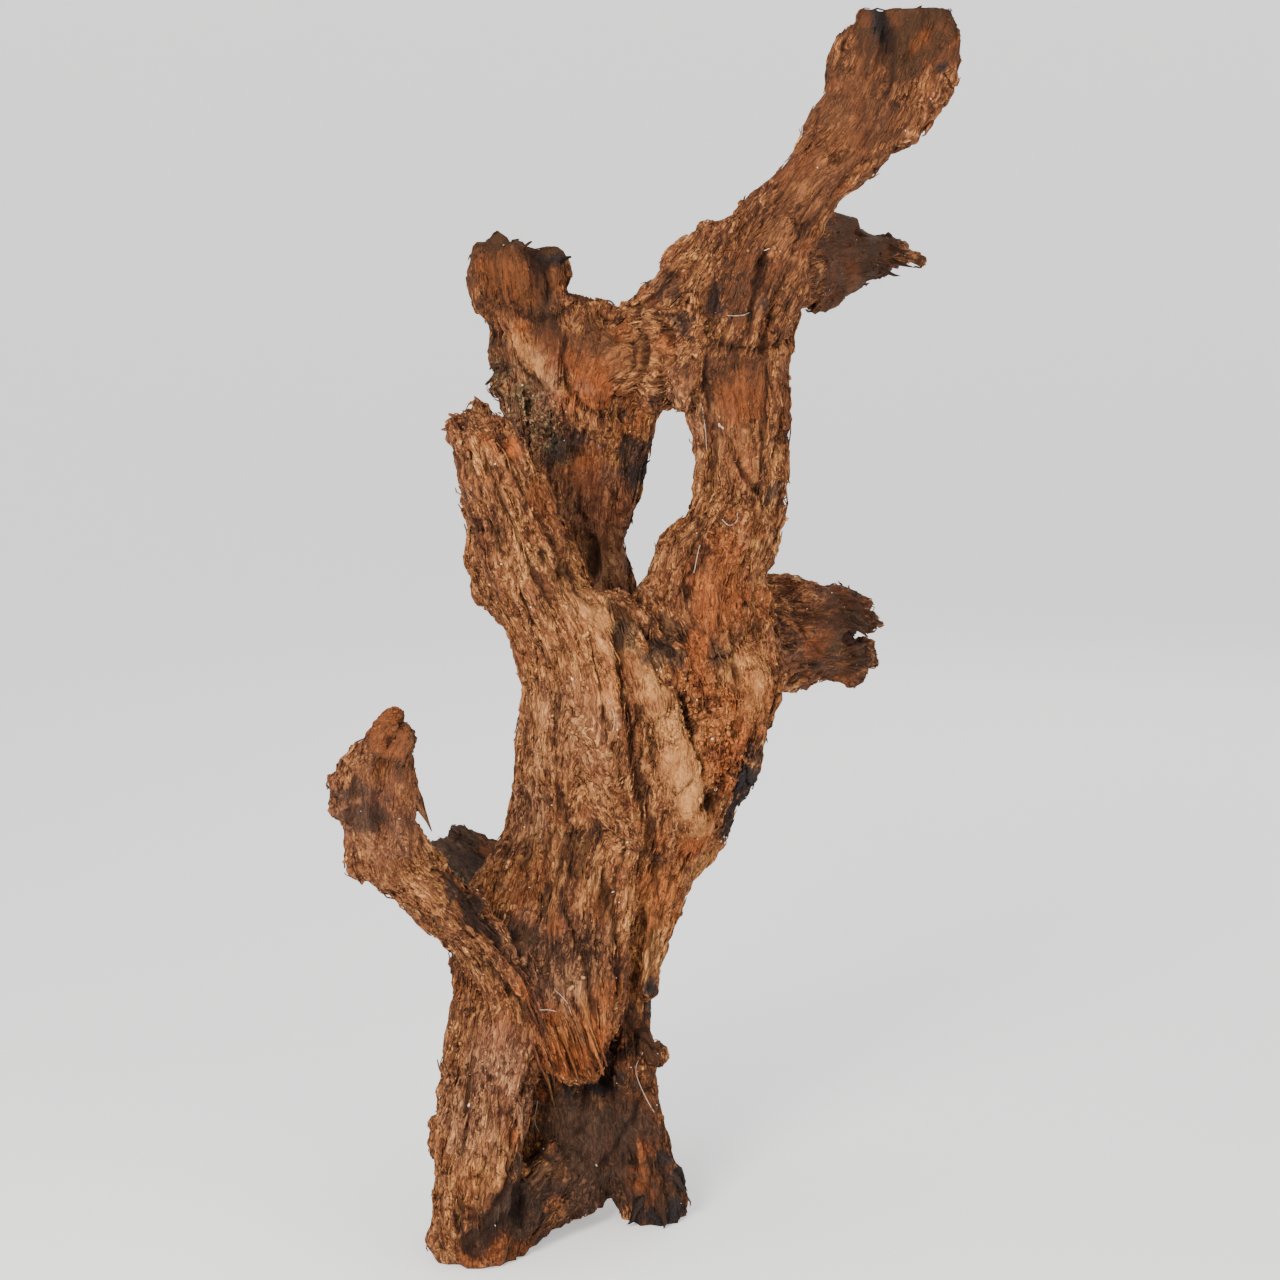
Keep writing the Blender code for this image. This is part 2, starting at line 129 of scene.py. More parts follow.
# Cracks (-) and ridges (+) drawn on the wood: places, half width and rise in millimetres.
DRAWN_LINES = {
    "burl_dome": ([(-30, 650, 14), (-24, 642, 14), (-20, 634, 14)], 15.0, 6.0),
    "curl_groove": ([(14, 668, 6), (22, 656, 2), (24, 640, 4), (18, 622, 16)], 2.6, -7.0),
    "burl_side_groove": ([(2, 660, 14), (4, 645, 14), (-2, 628, 16)], 1.8, -5.0),
    "ridge_groove": ([(-15, 451, -60), (-13, 414, -45), (-7, 379, -45), (0, 337, -45), (8, 301, -45),
        (11, 270, -45)], 3.4, -8.0),
    "ridge_groove_left": ([(-35, 442, -60), (-28, 407, -45), (-20, 372, -45), (-10, 330, -45),
        (-6, 294, -45)], 1.8, -4.0),
    "plate_ridge": ([(-28, 468, -60), (-23, 435, -60), (-15, 400, -45), (-7, 358, -45),
        (0, 323, -45)], 5.0, 3.0),
    "tan_ridge": ([(1, 423, -45), (13, 390, -45), (25, 351, -45), (38, 316, -45),
        (45, 294, -45)], 9.0, 5.0),
    "tan_ridge_groove": ([(23, 423, -45), (31, 393, -45), (41, 363, -45), (48, 330, -45)], 2.4, -4.5),
    "fork_gully": ([(-21, 472, -60), (-3, 455, -45), (15, 438, -45), (31, 428, -45)], 4.5, -7.0),
    "column_lobe": ([(82, 445, -30), (86, 428, -30), (82, 400, -30), (76, 372, -30)], 9.0, 4.0),
    "column_lobe_groove": ([(66, 435, -30), (69, 407, -30), (65, 379, -30)], 2.0, -4.0),
    "loop_strand": ([(45, 592, -15), (45, 562, -15), (39, 530, -20), (28, 506, -20),
        (17, 490, -20)], 3.2, 3.0),
    "loop_strand_groove": ([(52, 597, -15), (52, 566, -15), (46, 530, -20), (38, 509, -20)], 2.0, -3.5),
    "slant_crack": ([(54, 592, -15), (62, 579, -15), (73, 562, -15), (83, 547, -20),
        (90, 537, -20)], 2.8, -6.0),
    "flange_ridge": ([(101, 621, -15), (98, 583, -15), (94, 541, -20), (92, 502, -20)], 5.0, 3.2),
    "flange_groove": ([(90, 626, -15), (87, 590, -15), (85, 555, -15)], 2.6, -4.0),
    "shelf_crack": ([(52, 652, -20), (66, 648, -15), (82, 647, -15), (96, 650, -20),
        (106, 655, -20)], 1.8, -5.0),
    "shelf_lip": ([(54, 645, -15), (70, 641, -15), (89, 642, -15), (103, 647, -20)], 4.0, 3.0),
    "thumb_lobe": ([(28, 642, -15), (25, 626, -15), (30, 610, -15), (39, 597, -15)], 7.0, 4.0),
    "thumb_groove": ([(15, 649, 15), (14, 631, 15), (17, 614, -15), (25, 602, -15)], 2.4, -6.0),
    "thumb_groove_right": ([(45, 647, -15), (46, 626, -15), (48, 604, -15)], 2.0, -5.0),
    "curl_ridge": ([(-6, 655, 15), (6, 659, 15), (13, 649, 15), (11, 631, 15), (3, 614, 15)], 4.5, 3.5),
    "curl_inner": ([(0, 650, 15), (4, 638, 15), (0, 624, 15), (-7, 611, 15)], 1.6, -3.5),
    "burl_groove": ([(-52, 664, 15), (-55, 645, 15), (-54, 626, 15), (-42, 609, 15), (-24, 602, 15),
        (-7, 603, 15)], 2.2, -4.5),
    "burl_crack": ([(-32, 626, 15), (-18, 624, 15), (-6, 627, 15)], 1.4, -3.0),
    "burl_crack_low": ([(-40, 613, 15), (-25, 610, 15), (-11, 614, 15)], 1.3, -2.6),
    "pale_split": ([(-90, 666, 40), (-85, 651, 15), (-76, 638, 15), (-65, 624, 15),
        (-56, 617, 15)], 3.0, 2.5),
    "pale_split_groove": ([(-94, 666, 40), (-90, 649, 15), (-82, 634, 15), (-69, 620, 15)], 1.6, -4.0),
    "brow_crack": ([(-56, 614, 15), (-39, 604, 15), (-20, 599, 15), (-3, 600, 15)], 2.0, -4.0),
    "antler_flute": ([(89, 721, -20), (85, 696, -20), (79, 675, -20), (73, 654, -20)], 3.2, -8.0),
    "antler_blot": ([(51, 690, -20), (49, 675, -20), (48, 658, -20)], 4.0, -5.0),
    "antler_edge_groove": ([(121, 724, 140), (116, 696, 140), (108, 668, -20)], 1.8, -3.5),
    "antler_fold": ([(178, 861, -55), (175, 837, -55), (163, 802, -30), (148, 766, -30)], 2.2, -2.5),
    "antler_notch": ([(170, 888, -55), (171, 876, -55), (174, 862, -55)], 5.5, -7.0),
    "antler_seam": ([(127, 816, -30), (121, 795, -30), (113, 773, -30)], 1.6, -3.5),
    "antler_seam_low": ([(106, 766, -30), (92, 742, -20), (79, 721, -20)], 1.8, -3.0),
    "stump_notch": ([(-76, 724, 40), (-75, 713, 40), (-70, 699, 40)], 7.0, -8.0),
    "stump_flute": ([(-94, 709, 40), (-90, 689, 40), (-85, 673, 40)], 3.0, -3.5),
    "stump_step": ([(-99, 679, 40), (-85, 673, 40), (-67, 669, 40), (-49, 678, 15)], 2.0, -3.5),
    "left_notch": ([(-108, 661, 40), (-101, 658, 40), (-94, 661, 40)], 2.0, -4.5),
    "stub_notch": ([(145, 445, 120), (155, 444, 120), (166, 441, 120)], 6.0, -9.0),
    "stub_groove": ([(110, 462, 120), (117, 447, 120), (128, 434, 120)], 3.0, -4.0),
    "stub_ridge": ([(85, 482, -20), (113, 475, 120), (141, 466, 120)], 4.0, 2.5),
    "limb_flow": ([(-101, 590, -100), (-87, 559, -100), (-70, 527, -100), (-52, 495, -60),
        (-42, 476, -60)], 2.2, -5.0),
    "limb_flow_mid": ([(-110, 573, -100), (-97, 537, -100), (-82, 502, -100), (-65, 471, -60)], 1.6, -3.5),
    "limb_flow_low": ([(-118, 562, -100), (-107, 527, -100), (-93, 495, -100), (-77, 456, -60)], 1.6, -3.5),
    "limb_ridge": ([(-94, 597, -100), (-77, 562, -100), (-59, 527, -100), (-39, 488, -60)], 4.0, 3.0),
    "strap_ridge": ([(-152, 273, -120), (-134, 238, -120), (-113, 206, -50), (-92, 175, -90),
        (-67, 145, -60)], 5.0, 3.5),
    "strap_edge": ([(-132, 256, -120), (-114, 225, -50), (-93, 196, -50), (-73, 168, -60),
        (-56, 147, -60)], 2.4, -6.0),
    "trunk_side": ([(-56, 259, -50), (-42, 224, -50), (-34, 189, -60), (-25, 161, -60)], 2.4, -5.0),
    "trunk_front": ([(-24, 273, -50), (-17, 238, -50), (-15, 203, -50), (-20, 175, -60)], 2.6, -6.0),
    "trunk_step": ([(-56, 407, -60), (-59, 372, -45), (-56, 330, -45), (-48, 287, -50)], 2.2, -3.0),
    "tongue_split": ([(-63, 180, -60), (-53, 156, -60), (-44, 132, -60)], 1.8, -4.5),
    "tongue_split_right": ([(-48, 188, -60), (-39, 164, -60), (-30, 140, -60)], 1.8, -4.5),
    "strap_hollow": ([(-127, 272, -100), (-118, 255, -95), (-107, 240, -85), (-96, 226, -75)], 6.5, -8.0),
    "strap_hollow_end": ([(-96, 226, -75), (-88, 214, -70), (-80, 204, -65)], 3.5, -5.0),
    "foot_hollow": ([(-84, 62, -95), (-90, 44, -105), (-102, 28, -115), (-116, 16, -118)], 7.0, -5.0),
    "back_furrow": ([(-40, 620, 110), (-38, 580, 110), (-34, 540, 110), (-32, 500, 110), (-30, 460, 110),
        (-28, 420, 110), (-26, 380, 110), (-26, 340, 110)], 4.5, -7.0),
    "back_furrow_right": ([(0, 500, 90), (0, 460, 95), (-2, 420, 100), (-4, 380, 105), (-8, 340, 110),
        (-10, 300, 115), (-12, 260, 120)], 3.6, -6.0),
    "back_ridge": ([(-18, 560, 110), (-16, 520, 110), (-15, 480, 110), (-14, 440, 110), (-14, 400, 110),
        (-15, 360, 110)], 6.0, 4.0),
    "back_foot_furrow": ([(-30, 240, 140), (-32, 200, 150), (-32, 160, 160), (-30, 120, 170),
        (-28, 80, 180)], 4.5, -6.0),
    "back_left_furrow": ([(-80, 240, 80), (-86, 200, 75), (-94, 160, 65), (-100, 120, 60),
        (-106, 80, 50)], 4.5, -6.0),
    "knob_fold": ([(-6, 170, -20), (3, 162, -20), (12, 155, -20)], 2.2, -4.0),
    "limb_seam": ([(-116, 590, -110), (-108, 566, -105), (-98, 540, -100), (-84, 510, -90), (-70, 484, -80),
        (-58, 456, -60)], 1.8, -4.5),
    "limb_back": ([(-104, 590, -110), (-94, 562, -105), (-80, 530, -95), (-66, 502, -80)], 3.6, 3.0),
    "antler_light_back": ([(84, 690, -20), (96, 726, -26), (116, 760, -34), (134, 786, -40)], 5.0, 2.6),
    "antler_side_groove": ([(104, 720, -20), (116, 744, -26), (134, 768, -30)], 2.0, -3.0),
    "burl_arc": ([(-10, 662, 14), (-4, 650, 14), (-6, 636, 14), (-14, 624, 14)], 1.5, -3.0),
    "burl_arc_outer": ([(-18, 668, 14), (-4, 662, 14), (2, 650, 14)], 1.4, -3.0),
    "burl_edge_left": ([(-50, 660, 18), (-55, 640, 18), (-50, 622, 18)], 1.6, -3.0),
    "stump_cleft": ([(-72, 722, 40), (-66, 706, 40), (-64, 690, 40), (-68, 676, 40)], 2.4, -5.0),
    "stump_side": ([(-102, 700, 40), (-98, 684, 40), (-92, 668, 40)], 2.0, -3.5),
    "stump_fold": ([(-52, 706, 40), (-50, 690, 40), (-56, 676, 40)], 2.0, -3.0),
    "foot_split": ([(-120, 147, -90), (-123, 111, -90), (-125, 76, -110)], 1.6, -4.0),
    "foot_split_right": ([(-100, 132, -90), (-99, 104, -90), (-97, 80, -110)], 1.6, -3.0),
    "panel_edge": ([(-82, 124, -90), (-80, 104, -10), (-83, 83, -110), (-90, 62, -110), (-103, 44, -110),
        (-117, 25, -110), (-132, 15, -110)], 3.0, -6.0),
    "panel_fold": ([(8, 134, -60), (-4, 111, -10), (-20, 83, -10), (-30, 55, -10)], 2.4, -3.0),
    "panel_stroke": ([(-21, 118, -10), (-39, 101, -10), (-56, 83, -10)], 2.2, -1.6),
    "panel_stroke_low": ([(-28, 90, -10), (-46, 69, -10), (-65, 51, -110)], 2.2, -1.6),
    "right_ridge": ([(0, 129, -60), (7, 104, -20), (17, 76, -20), (25, 51, -20)], 5.0, 2.5),
    "paddle_rim": ([(-168, 383, -190), (-189, 372, -190), (-203, 344, -190), (-210, 309, -190)], 3.0, 2.0),
    "paddle_bowl": ([(-196, 351, -190), (-199, 330, -190), (-193, 309, -190)], 8.0, -1.5),
    "paddle_stem": ([(-178, 344, -190), (-170, 309, -190), (-155, 273, -120)], 3.0, 2.0),
}

# Flat shards that break off the outline: base and tip (across, up, across, up), half width and how far
# the tip stands off in millimetres, and lightness.
SHARDS = [
    (-84, 718, -76, 724, 2.2, 0, -0.04), (-58, 711, -49, 713, 5, 0, -0.04),
    (-99, 631, -109, 623, 5, 0, -0.02), (-96, 626, -106, 619, 4, 0, -0.02),
    (-99, 637, -107, 634, 3, 0, 0), (-111, 602, -116, 614, 5, 0, 0), (-104, 604, -108, 610, 5, 0, 0),
    (-121, 593, -134, 602, 5, 0, 0), (-124, 587, -139, 590, 6, 0, 0), (-95, 595, -90, 599, 4, 0, -0.04),
    (-120.5, 547, -121.2, 541.1, 2.55, 0, 0.02), (-120.5, 538, -121.2, 534.8, 2.12, 0, 0),
    (-121.5, 533, -120.2, 527.8, 2.12, 0, 0), (-116.5, 521, -119.8, 517.1, 2.98, 0, 0.04),
    (-114.5, 513, -115.8, 509.1, 2.12, 0, 0), (-117.5, 499, -117.5, 493.1, 3.4, 0, 0.02),
    (-116.5, 487, -116.5, 481.8, 3.4, 0, 0.02), (-106.5, 478, -106.5, 471.5, 2.55, 0, 0),
    (-100.5, 466, -98.5, 460.8, 2.55, 0, 0), (-92.5, 448, -90.5, 441.5, 1.7, 0, 0),
    (-80.5, 435, -82.5, 431.8, 2.12, 0, 0), (-78.5, 430, -77.2, 424.8, 1.7, 0, 0),
    (-123.5, 575, -122.2, 570.5, 2.55, 0, 0.02), (-124.5, 562, -122.5, 557.5, 2.12, 0, 0),
    (-175, 379, -170, 392, 5, 0, 0.06), (-180, 373, -185, 387, 5, 0, 0.06),
    (-163, 371, -159, 372, 3, 0, 0.04), (-161, 337, -149, 311, 5, 1, 0.04),
    (-163, 351, -156, 332, 4, 1, 0.02), (-207, 340, -218, 328, 3.5, 1, 0.04),
    (-166, 362, -162, 355, 3, 0, 0), (-203, 358, -210, 349, 3, 0, 0.04),
    (-155, 316, -147, 297, 3, 1, 0), (-80, 154, -73.2, 135.1, 2, 1, -0.04),
    (-75, 156, -66.3, 131.9, 2.4, 1, -0.02), (-71, 161, -63.9, 141.2, 2, 2, 0),
    (-68, 154, -59.1, 129.1, 2.4, 2, 0.02), (-63, 156, -55.9, 136.2, 2, 2, 0.04),
    (-60, 161, -49.5, 131.8, 2.24, 2, 0.06), (-56, 154, -49.2, 135.1, 1.76, 2, 0.03),
    (-54, 161, -42.8, 130, 2.24, 2, 0.08), (-50, 154, -42.6, 133.4, 1.76, 2, 0),
    (-47, 156, -39.3, 134.5, 2, 2, 0.06), (-43, 163, -32.2, 132.9, 2.24, 2, 0.08),
    (-39, 156, -32.2, 137.1, 1.76, 2, 0.02), (-35, 163, -25.4, 136.3, 2.08, 2, 0.05),
    (-31, 165, -22.9, 142.6, 1.92, 2, 0), (-28, 168, -21.5, 149.9, 1.76, 1, -0.04),
    (-68, 138, -59.3, 113.9, 2.8, 2, 0.08), (-64, 135, -57.5, 116.9, 2, 1, 0.04),
    (-77, 135, -71.8, 120.4, 2, 2, -0.06), (-59, 182, -46.6, 147.6, 1.76, 2, 0.1),
    (-49, 185, -37.2, 152.3, 1.76, 2, 0.06), (-40, 185, -28.8, 154, 1.76, 2, 0.1),
    (-54, 178, -43.5, 148.8, 1.6, 2, -0.04), (-33, 189, -23.4, 162.3, 1.6, 2, 0.02),
    (-85, 161, -77.9, 141.2, 2, 1, -0.02), (-85, 125, -82.4, 108.7, 4, 2, 0.06),
    (-86, 107, -84, 86, 4, 2, 0.06), (-90, 93, -86, 70, 4, 2.5, 0.08), (-94, 85, -91, 59, 4, 3, 0.1),
    (-100, 77, -94, 52, 4, 3, 0.08), (-103, 68, -99, 42, 4, 3, 0.08), (-108, 62, -106, 37, 4, 3, 0.08),
    (-114, 54, -111, 27, 4, 3, 0.08), (-120, 51, -118, 23, 4, 3, 0.06),
    (-125, 44, -126, 17, 4, 2.5, 0.06), (-131, 39, -132, 13, 4, 2, 0.04),
    (-137, 37, -139, 15, 4, 1.5, 0.02), (-141, 62, -147, 51, 3, 1, 0), (-138, 104, -143, 93, 3, 1, 0),
    (-132, 147, -137, 134, 3, 1, 0), (145, 466, 162, 462, 5, 0, -0.06),
    (148, 459, 165, 451, 5, 0, -0.08), (145, 455, 163, 445, 4, 0, -0.1), (145, 435, 161, 440, 5, 0, 0),
    (148, 428, 163, 431, 5, 0, 0), (145, 423, 156, 420, 4, 0, 0), (142, 471, 156, 471, 4, 0, -0.06),
    (176, 709, 195, 704, 3, 0, -0.06), (176, 720, 191, 716, 3, 0, -0.06),
    (169, 703, 183, 699, 3, 0, -0.06), (152, 730, 163, 726, 3, 0, -0.06),
    (180, 713, 194, 710, 2.5, 0, -0.06), (127, 682, 121, 673, 3, 0, -0.04),
    (215, 840, 221, 830, 2.2, 0, -0.2), (204, 806, 199, 797, 2.5, 1, -0.02),
    (4, 161, 15, 151, 4, 0, 0.02), (0, 168, 8, 168, 3, 0, 0), (7, 145, 13, 142, 2.5, 0, 0),
    (25, 62, 34, 51, 4, 0, -0.2), (23, 83, 30, 72, 3, 0, -0.2), (0, 44, -7, 30, 5, 0, -0.2),
    (14, 44, 17, 28, 6, 0, -0.2), (72, 344, 67, 330, 4, 1, -0.2), (46, 300, 42, 289, 3, 1, 0),
    (35, 273, 31, 259, 3, 1, 0), (17, 224, 13, 209, 3, 1, 0), (96, 400, 92, 389, 4, 1, 0),
    (106, 414, 96, 404, 4, 1, -0.02), (85, 372, 79, 358, 3, 1, -0.05), (0, 562, 7, 568, 3, 0, -0.2),
    (101, 626, 106, 617, 3, 0, 0), (96, 502, 97, 494, 3, 0, -0.02), (94, 562, 101, 554, 3, 0, -0.06),
    (11, 609, 14, 602, 3, 0, -0.05), (0, 597, 1, 590, 3, 0, -0.04),
    (-66, 176, -54.8, 145, 1.8, 2, 0.04), (-58, 178, -47.7, 147, 1.6, 2, 0.1),
    (-50, 176, -39.7, 148.5, 1.8, 2, 0), (-44, 174, -34.5, 147.3, 1.6, 2, 0.1),
    (-70, 168, -59.7, 140.5, 1.8, 2, 0), (-62, 165, -51.7, 136.6, 1.6, 2, 0.08),
    (-40, 168, -30.5, 142.2, 1.6, 2, 0.06), (-74, 188, -65.4, 163.9, 1.8, 2, 0.06),
    (-82, 196, -72, 170, 1.8, 2, 0.02),
]

# Soft-edged patches: (across, up, depth, radius, amount), in millimetres. thin thickens the solid's
# thin walls. pale lightens the wood, and in a few places it is painted light on ground that lies in
# shade. dim is painted shade that darkens the far, high and turned-away parts and some recesses. grey
# dulls it and orange reddens it. stain is painted shade under overhangs, in gaps and in pockets,
# hollow is painted shade with dirt in the hollows, and charred and lichen cover it. crumbly ground is
# broken into blocks, and smooth ground has less relief.
PATCHES = {
    "charred": [
        (171, 876, -55, 9, 1), (173, 866, -55, 6, 0.9), (168, 884, -55, 7, 1), (52, 690, -18, 7, 0.8),
        (50, 680, -18, 7, 0.8), (86, 680, -20, 6, 0.6), (92, 546, -14, 10, 0.8), (-70, 714, 40, 7, 0.8),
        (-60, 710, 40, 7, 0.7), (-46, 716, 40, 7, 0.5), (-34, 128, -40, 9, 0.8), (-52, 124, -45, 8, 0.8),
        (-70, 132, -50, 8, 0.7), (-20, 150, -30, 9, 0.7), (-24, 140, -30, 8, 0.8), (-18, 142, -20, 10, 0.6),
        (70, 330, -8, 16, 1), (76, 346, -2, 14, 1), (62, 314, -8, 12, 0.9), (80, 362, 4, 10, 0.8),
        (4, 188, -10, 11, 1), (8, 196, -6, 8, 1), (28, 40, -14, 14, 0.85), (24, 62, -10, 12, 0.85),
        (16, 78, -10, 7, 0.8), (14, 34, -22, 11, 0.9), (-4, 34, -30, 11, 0.9), (2, 562, 50, 18, 0.9),
        (-8, 576, 44, 15, 0.8), (-90, 38, -80, 14, 0.4), (30, 668, 4, 10, 0.7), (54, 676, -10, 8, 0.6),
        (213, 846, -50, 6, 0.9), (-10, 600, 22, 10, 0.5), (-58, 578, 30, 13, 0.75), (-46, 584, 30, 9, 0.6),
        (-40, 700, 90, 12, 0.5), (40, 250, 60, 12, 0.5),
    ],
    "hollow_shade_and_dirt": [
        (-86, 60, -95, 10, 0.9), (-92, 46, -105, 13, 0.95), (-102, 32, -115, 13, 0.95),
        (-88, 32, -105, 14, 0.9), (-114, 20, -118, 11, 0.85), (-76, 46, -80, 14, 0.9),
        (-76, 76, -60, 12, 0.9), (-74, 100, -50, 10, 0.8), (-68, 60, -50, 16, 0.9), (-60, 20, -60, 24, 0.7),
        (-50, 110, -30, 26, 0.9), (-20, 50, -20, 26, 0.7), (-4, 100, -20, 18, 0.7),
        (-30, 120, -20, 30, 0.7), (-10, 444, -30, 12, 0.9), (14, 436, -30, 12, 0.95),
        (26, 428, -28, 9, 0.9), (-40, 92, -14, 44, 1), (-36, 60, -14, 34, 0.9), (-30, 470, 30, 40, 0.15),
        (-42, 510, 46, 30, 0.1), (-10, 450, 10, 22, 0.7), (20, 446, 8, 16, 0.7), (-194, 316, -184, 17, 0.9),
        (-198, 338, -190, 13, 0.7), (-120, 270, 80, 34, 1), (-100, 250, 50, 30, 1), (-134, 296, 96, 18, 1),
        (120, 440, 120, 44, 0.3), (140, 716, 120, 60, 0.25), (80, 430, 60, 26, 0.8), (56, 432, 4, 12, 0.8),
        (70, 690, -20, 8, 0.5), (20, 690, 40, 14, 0.6), (-128, 270, -100, 11, 1), (-118, 256, -95, 12, 1),
        (-108, 243, -85, 10, 1), (-98, 231, -75, 8, 0.9), (-90, 221, -70, 6, 0.8), (-112, 256, -90, 12, 1),
        (-100, 240, -80, 9, 0.8), (-90, 44, -110, 12, 0.9), (-136, 300, 96, 20, 0.9),
        (-124, 280, 90, 20, 1), (-84, 70, -85, 12, 0.9), (-82, 54, -90, 13, 1), (-96, 36, -112, 12, 1),
        (-118, 246, 40, 22, 0.9), (-108, 262, 40, 20, 0.9), (-96, 34, -112, 16, 0.6),
        (-94, 238, -60, 12, 0.7), (-94, 238, -20, 12, 0.7),
    ],
    "orange": [
        (-34, 622, 14, 18, 0.8), (-50, 612, 20, 13, 0.8), (-50, 640, 20, 9, 0.5), (200, 868, -55, 6, 0.8),
        (194, 862, -55, 5, 0.6), (-66, 124, -50, 8, 0.9), (120, 440, 90, 12, 0.9), (114, 450, 90, 8, 0.9),
        (60, 470, -24, 24, 0.7), (70, 400, -30, 20, 0.7), (60, 350, -30, 20, 0.8),
        (-104, 160, -90, 10, 0.4), (-96, 110, -100, 12, 0.5), (-88, 94, -95, 9, 0.8),
        (36, 420, -40, 14, 0.7), (10, 300, -40, 10, 0.5), (-48, 150, -58, 20, 0.9),
        (-40, 170, -58, 16, 0.8), (-20, 190, -44, 14, 0.7), (-2, 62, -36, 13, 0.8), (0, 84, -30, 9, 0.7),
        (60, 380, -34, 26, 0.8), (50, 400, -34, 18, 0.7), (36, 300, -34, 18, 0.8), (20, 262, -26, 20, 0.8),
        (-90, 576, -116, 7, 1), (-108, 584, -116, 6, 0.7), (-60, 240, -50, 6, 0.9),
        (-178, 370, -216, 14, 0.6), (60, 500, -22, 22, 0.6), (40, 436, -28, 12, 0.8),
        (-6, 600, 22, 14, 0.5), (-84, 662, 26, 7, 0.8), (18, 650, 4, 8, 0.6), (128, 440, 110, 12, 0.6),
        (-104, 14, -114, 13, 0.7), (-78, 196, -78, 14, 0.8), (-64, 176, -68, 12, 0.8),
        (70, 610, -14, 20, 0.5), (150, 700, 90, 12, 0.3), (-14, 660, 20, 10, 0.3), (-112, 707, 40, 8, 0.6),
        (-30, 250, -46, 12, 0.4), (-60, 316, -50, 8, 0.4), (-40, 560, 44, 18, 0.5), (-20, 540, 44, 18, 0.4),
        (-70, 540, -90, 16, 0.4), (90, 470, -20, 14, 0.6), (-80, 690, 40, 14, 0.3), (-50, 690, 40, 12, 0.4),
        (-120, 60, -110, 12, 0.3), (-86, 704, 40, 16, 0.4), (-60, 696, 40, 12, 0.4),
        (-176, 374, -216, 12, 0.5), (24, 240, -26, 16, 0.5), (88, 400, -20, 14, 0.5),
        (-20, 300, 110, 30, 0.5), (50, 480, 60, 24, 0.5), (-50, 480, 110, 20, 0.6),
        (-30, 100, 180, 24, 0.5), (-100, 700, 40, 20, 0.5), (-188, 392, -216, 18, 0.9),
        (-178, 372, -210, 22, 0.45), (-112, 12, -116, 16, 0.6), (-84, 10, -90, 14, 0.5),
        (-52, 150, -58, 22, 0.9), (-34, 158, -52, 18, 0.8), (-90, 700, 40, 26, 0.25),
        (-96, 14, -112, 16, 0.6), (-22, 414, -48, 14, 0.5), (18, 262, -30, 24, 0.85),
        (-172, 366, -200, 12, 0.5),
    ],
    "lichen": [
        (-84, 611, 30, 14, 0.9), (-74, 594, 28, 13, 1), (-64, 582, 28, 11, 0.9), (-98, 629, 34, 9, 0.6),
        (-94, 612, 34, 9, 0.8), (-54, 571, 28, 9, 0.6), (-108, 262, 50, 10, 0.6), (-128, 274, 86, 12, 0.7),
        (-112, 266, 66, 12, 0.6), (-84, 636, 26, 10, 0.3), (140, 436, 130, 10, 0.3),
    ],
    "pale": [
        (30, 362, -48, 17, 1), (38, 336, -46, 16, 1), (22, 388, -50, 15, 1), (8, 412, -50, 13, 1),
        (-16, 440, -50, 16, 0.9), (-30, 456, -50, 14, 0.9), (-24, 410, -48, 16, 0.8), (44, 310, -42, 14, 1),
        (70, 420, -36, 22, 0.8), (76, 400, -34, 18, 0.8), (52, 384, -34, 20, 0.6), (40, 280, -36, 20, 0.8),
        (18, 258, -30, 30, 0.4), (-52, 370, -44, 36, 0.45), (-60, 300, -44, 30, 0.2),
        (-44, 420, -50, 26, 0.4), (-116, 84, -110, 30, 0.3), (-106, 62, -116, 16, 0.4),
        (-112, 40, -116, 9, 0.5), (-84, 480, -86, 16, 0.3), (-10, 640, 16, 14, 0.3),
        (140, 800, -44, 16, 0.3), (116, 760, -32, 12, 0.3), (-92, 665, 26, 5, 1), (-87, 655, 26, 6, 1),
        (-80, 645, 26, 7, 1), (-72, 635, 26, 8, 1), (-63, 626, 26, 7, 0.9), (-54, 618, 26, 5, 0.8),
        (100, 730, -26, 14, 0.2), (-110, 572, -110, 12, 0.4), (20, 222, -30, 22, 0.4),
        (-30, 200, 150, 50, 0.4), (-20, 420, 110, 40, 0.5), (-40, 560, 110, 30, 0.4),
        (60, 540, 60, 30, 0.3), (-50, 230, -50, 34, 0.1), (-20, 250, -46, 26, 0.3),
        (-40, 190, -44, 26, 0.4), (-84, 500, -86, 26, 0.35), (-60, 450, -80, 26, 0.3),
        (38, 340, -46, 22, 0.5), (24, 384, -50, 20, 0.5), (-48, 480, -50, 20, 0.3), (-30, 500, 44, 26, 0.4),
        (-80, 606, 30, 26, 0.35), (-46, 190, -44, 20, 0.3),
    ],
    "painted_deep_shade": [
        (-50, 128, -30, 9, 0.9), (-36, 127, -30, 9, 0.9), (-22, 130, -30, 8, 0.9), (-64, 126, -40, 7, 0.7),
        (-118, 270, 60, 22, 0.7), (-104, 276, 60, 16, 0.7), (6, 452, -30, 9, 0.8), (18, 440, -30, 9, 0.9),
        (30, 432, -28, 8, 0.9), (-6, 466, -30, 8, 0.7), (17, 640, 20, 5, 0.8), (12, 612, 20, 8, 0.8),
        (-2, 604, 24, 8, 0.5), (86, 690, -20, 5, 0.7), (76, 656, -18, 5, 0.6), (172, 870, -55, 6, 0.9),
        (-8, 176, -20, 8, 0.7), (-12, 150, -20, 7, 0.7), (96, 460, 60, 16, 0.5), (-66, 690, 40, 10, 0.5),
        (-16, 300, -46, 6, 0.3), (-60, 664, 28, 10, 0.5), (4, 196, -10, 8, 0.6), (14, 270, -40, 5, 0.4),
        (-60, 10, -60, 16, 0.6), (-84, 716, 40, 6, 0.4), (-84, 214, -66, 6, 0.6), (-78, 206, -60, 6, 0.5),
        (58, 372, -34, 6, 0.5), (70, 384, -30, 6, 0.5), (46, 400, -36, 5, 0.5), (62, 352, -28, 7, 0.5),
